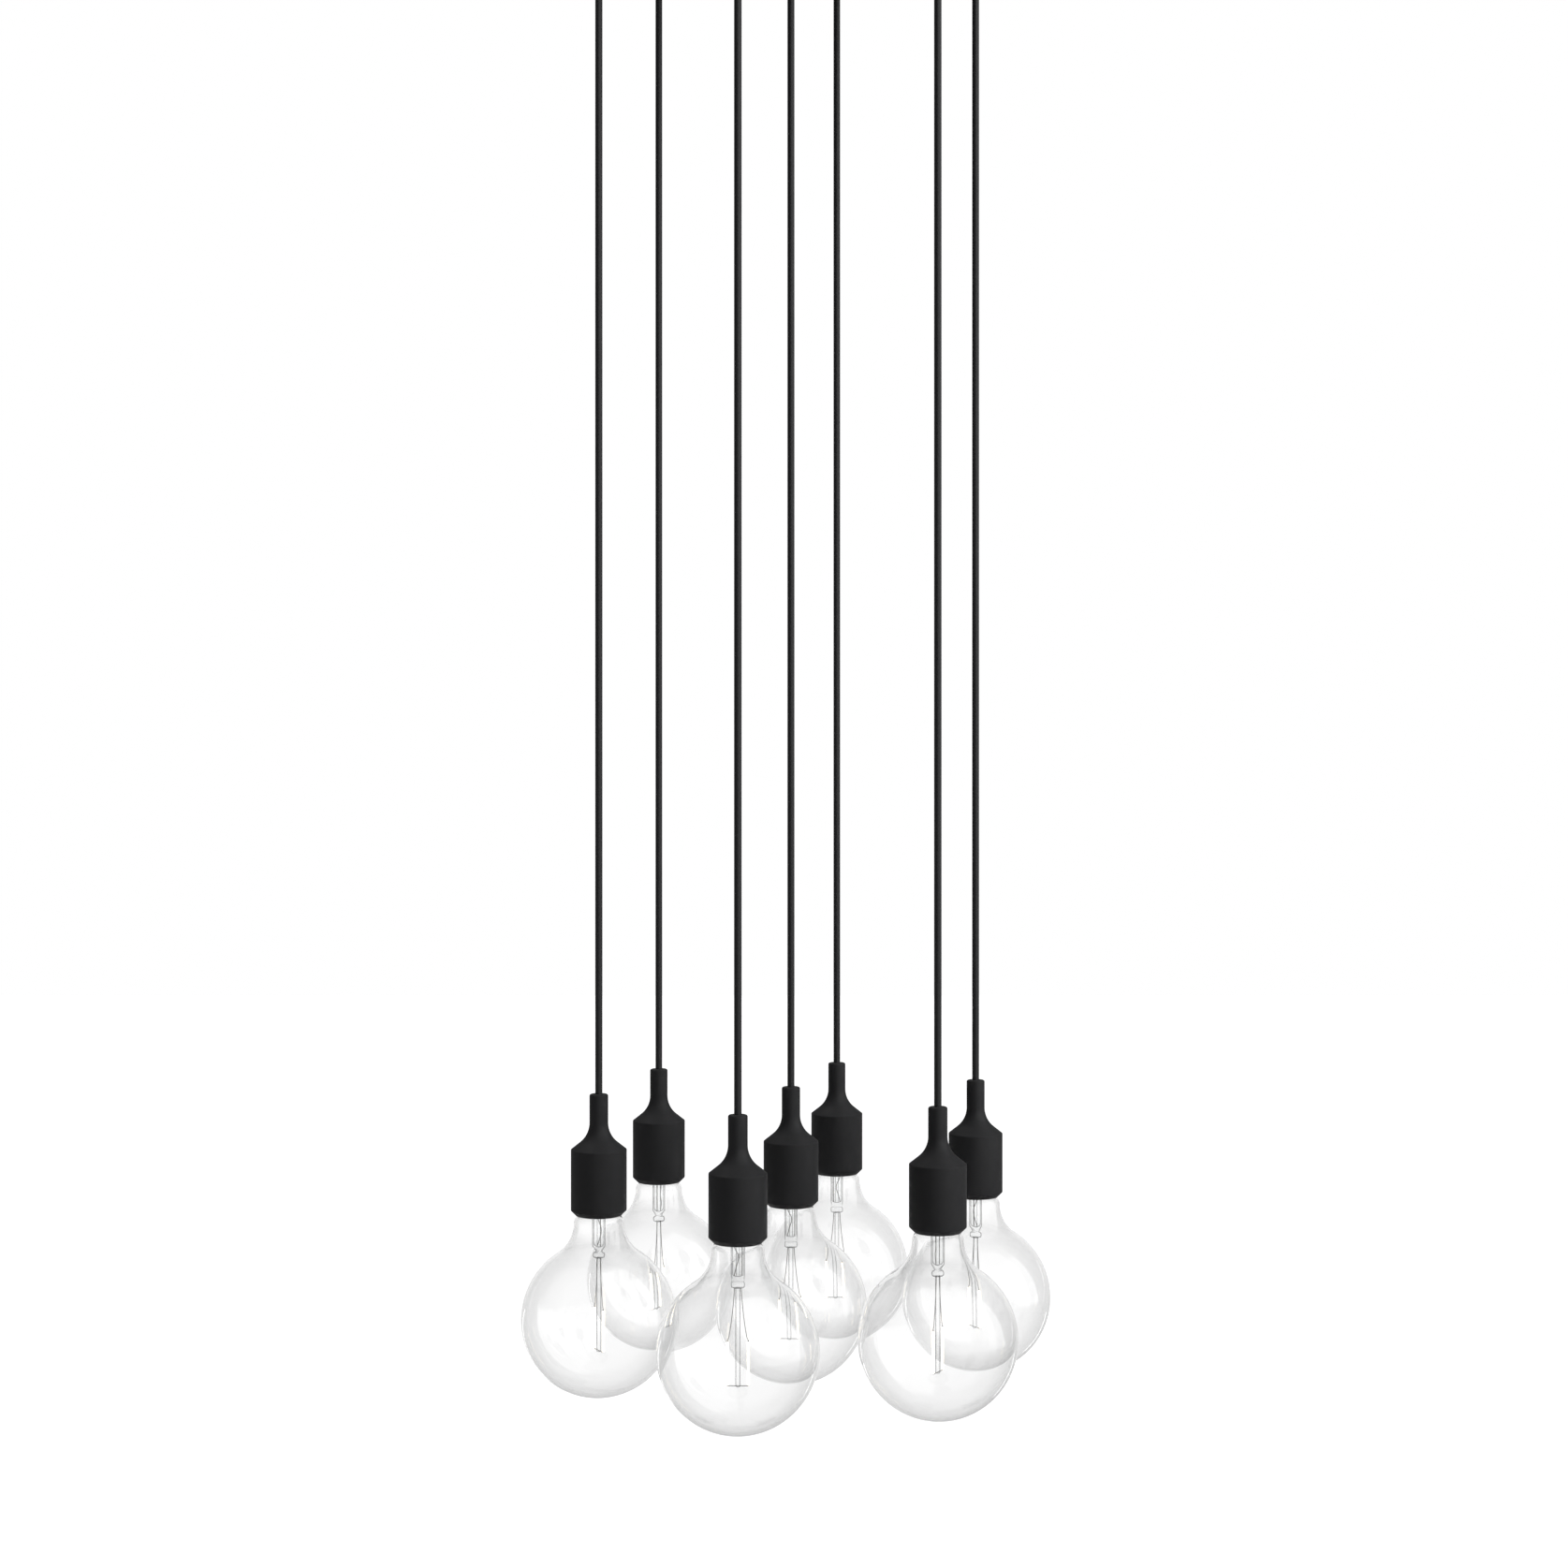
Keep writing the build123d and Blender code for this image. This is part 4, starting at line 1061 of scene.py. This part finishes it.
# For lines of sight that clear glass has mirrored, the floor glows with the studio's brightness in
# the direction from the lamp: a painted reflection of the studio and its soft boxes in place of the
# floor.
place = nodes.new("ShaderNodeTexCoord")
from_lamp = nodes.new("ShaderNodeVectorMath")
from_lamp.operation = "SUBTRACT"
from_lamp.inputs[1].default_value = (0, 0, GLOBE_Z)
heading = nodes.new("ShaderNodeVectorMath")
heading.operation = "NORMALIZE"
links.new(place.outputs["Object"], from_lamp.inputs[0])
links.new(from_lamp.outputs[0], heading.inputs[0])
_, level = mirrored(nodes, links, heading.outputs[0])
sharp = mirror_ray(nodes, links, ray)
through = ray.outputs["Is Transmission Ray"]
seen = chosen(nodes, links, ray.outputs["Is Camera Ray"], 0.0, FLOOR_GLOW)
seen = chosen(nodes, links, through, seen, 1.0)
seen = chosen(nodes, links, sharp, seen, level)
glowing = nodes.new("ShaderNodeEmission")
links.new(seen, glowing.inputs["Strength"])
plain = nodes.new("ShaderNodeAddShader")
links.new(nodes["Principled BSDF"].outputs[0], plain.inputs[0])
links.new(glowing.outputs[0], plain.inputs[1])
pick = nodes.new("ShaderNodeMixShader")
links.new(worked(nodes, links, "MAXIMUM", sharp, through), pick.inputs[0])
links.new(plain.outputs[0], pick.inputs[1])
links.new(glowing.outputs[0], pick.inputs[2])
links.new(pick.outputs[0], nodes["Material Output"].inputs["Surface"])
floor_mesh.materials.append(paper)

world = bpy.data.worlds.new("white surround")
world.use_nodes = True
bpy.context.scene.world = world
nodes, links = world.node_tree.nodes, world.node_tree.links
air = nodes["Background"]
air.inputs["Color"].default_value = (1, 1, 1, 1)
ray = nodes.new("ShaderNodeLightPath")
heading = nodes.new("ShaderNodeTexCoord")
light, level = mirrored(nodes, links, heading.outputs["Generated"])
soft = chosen(nodes, links, light.outputs["Overhead"], DIM_LEVEL, OVERHEAD_LEVEL)
soft = chosen(nodes, links, light.outputs["Left box"], soft, LEFT_LEVEL)
soft = chosen(nodes, links, light.outputs["Right box"], soft, RIGHT_LEVEL)
seen = chosen(nodes, links, ray.outputs["Is Glossy Ray"], FILL_LEVEL, soft)
seen = chosen(nodes, links, ray.outputs["Is Transmission Ray"], seen, 1.0)
seen = chosen(nodes, links, mirror_ray(nodes, links, ray), seen, level)
seen = chosen(nodes, links, ray.outputs["Is Camera Ray"], seen, 1.0)
links.new(seen, air.inputs["Strength"])


def soft_box(name, place, aim, size, power):
    """A rectangular lamp that faces the point it is aimed at; the surround shows it in mirrors."""
    lamp = bpy.data.lights.new(name, "AREA")
    lamp.shape = "RECTANGLE"
    lamp.size, lamp.size_y = size
    lamp.energy = power
    box = bpy.data.objects.new(name, lamp)
    box.location = place
    box.rotation_euler = (Vector(aim) - Vector(place)).to_track_quat("-Z", "Y").to_euler()
    box.visible_glossy = False
    box.visible_transmission = False
    bpy.context.scene.collection.objects.link(box)


soft_box("right_box", (1.6, -0.9, -0.8), AIM, (0.9, 1.6), 14)
soft_box("left_box", (-1.9, -0.5, -0.9), AIM, (0.8, 1.6), 7)
soft_box("top_box", (0.2, 0.4, 1.2), (0, 0, -1.0), (1.6, 1.6), 22)
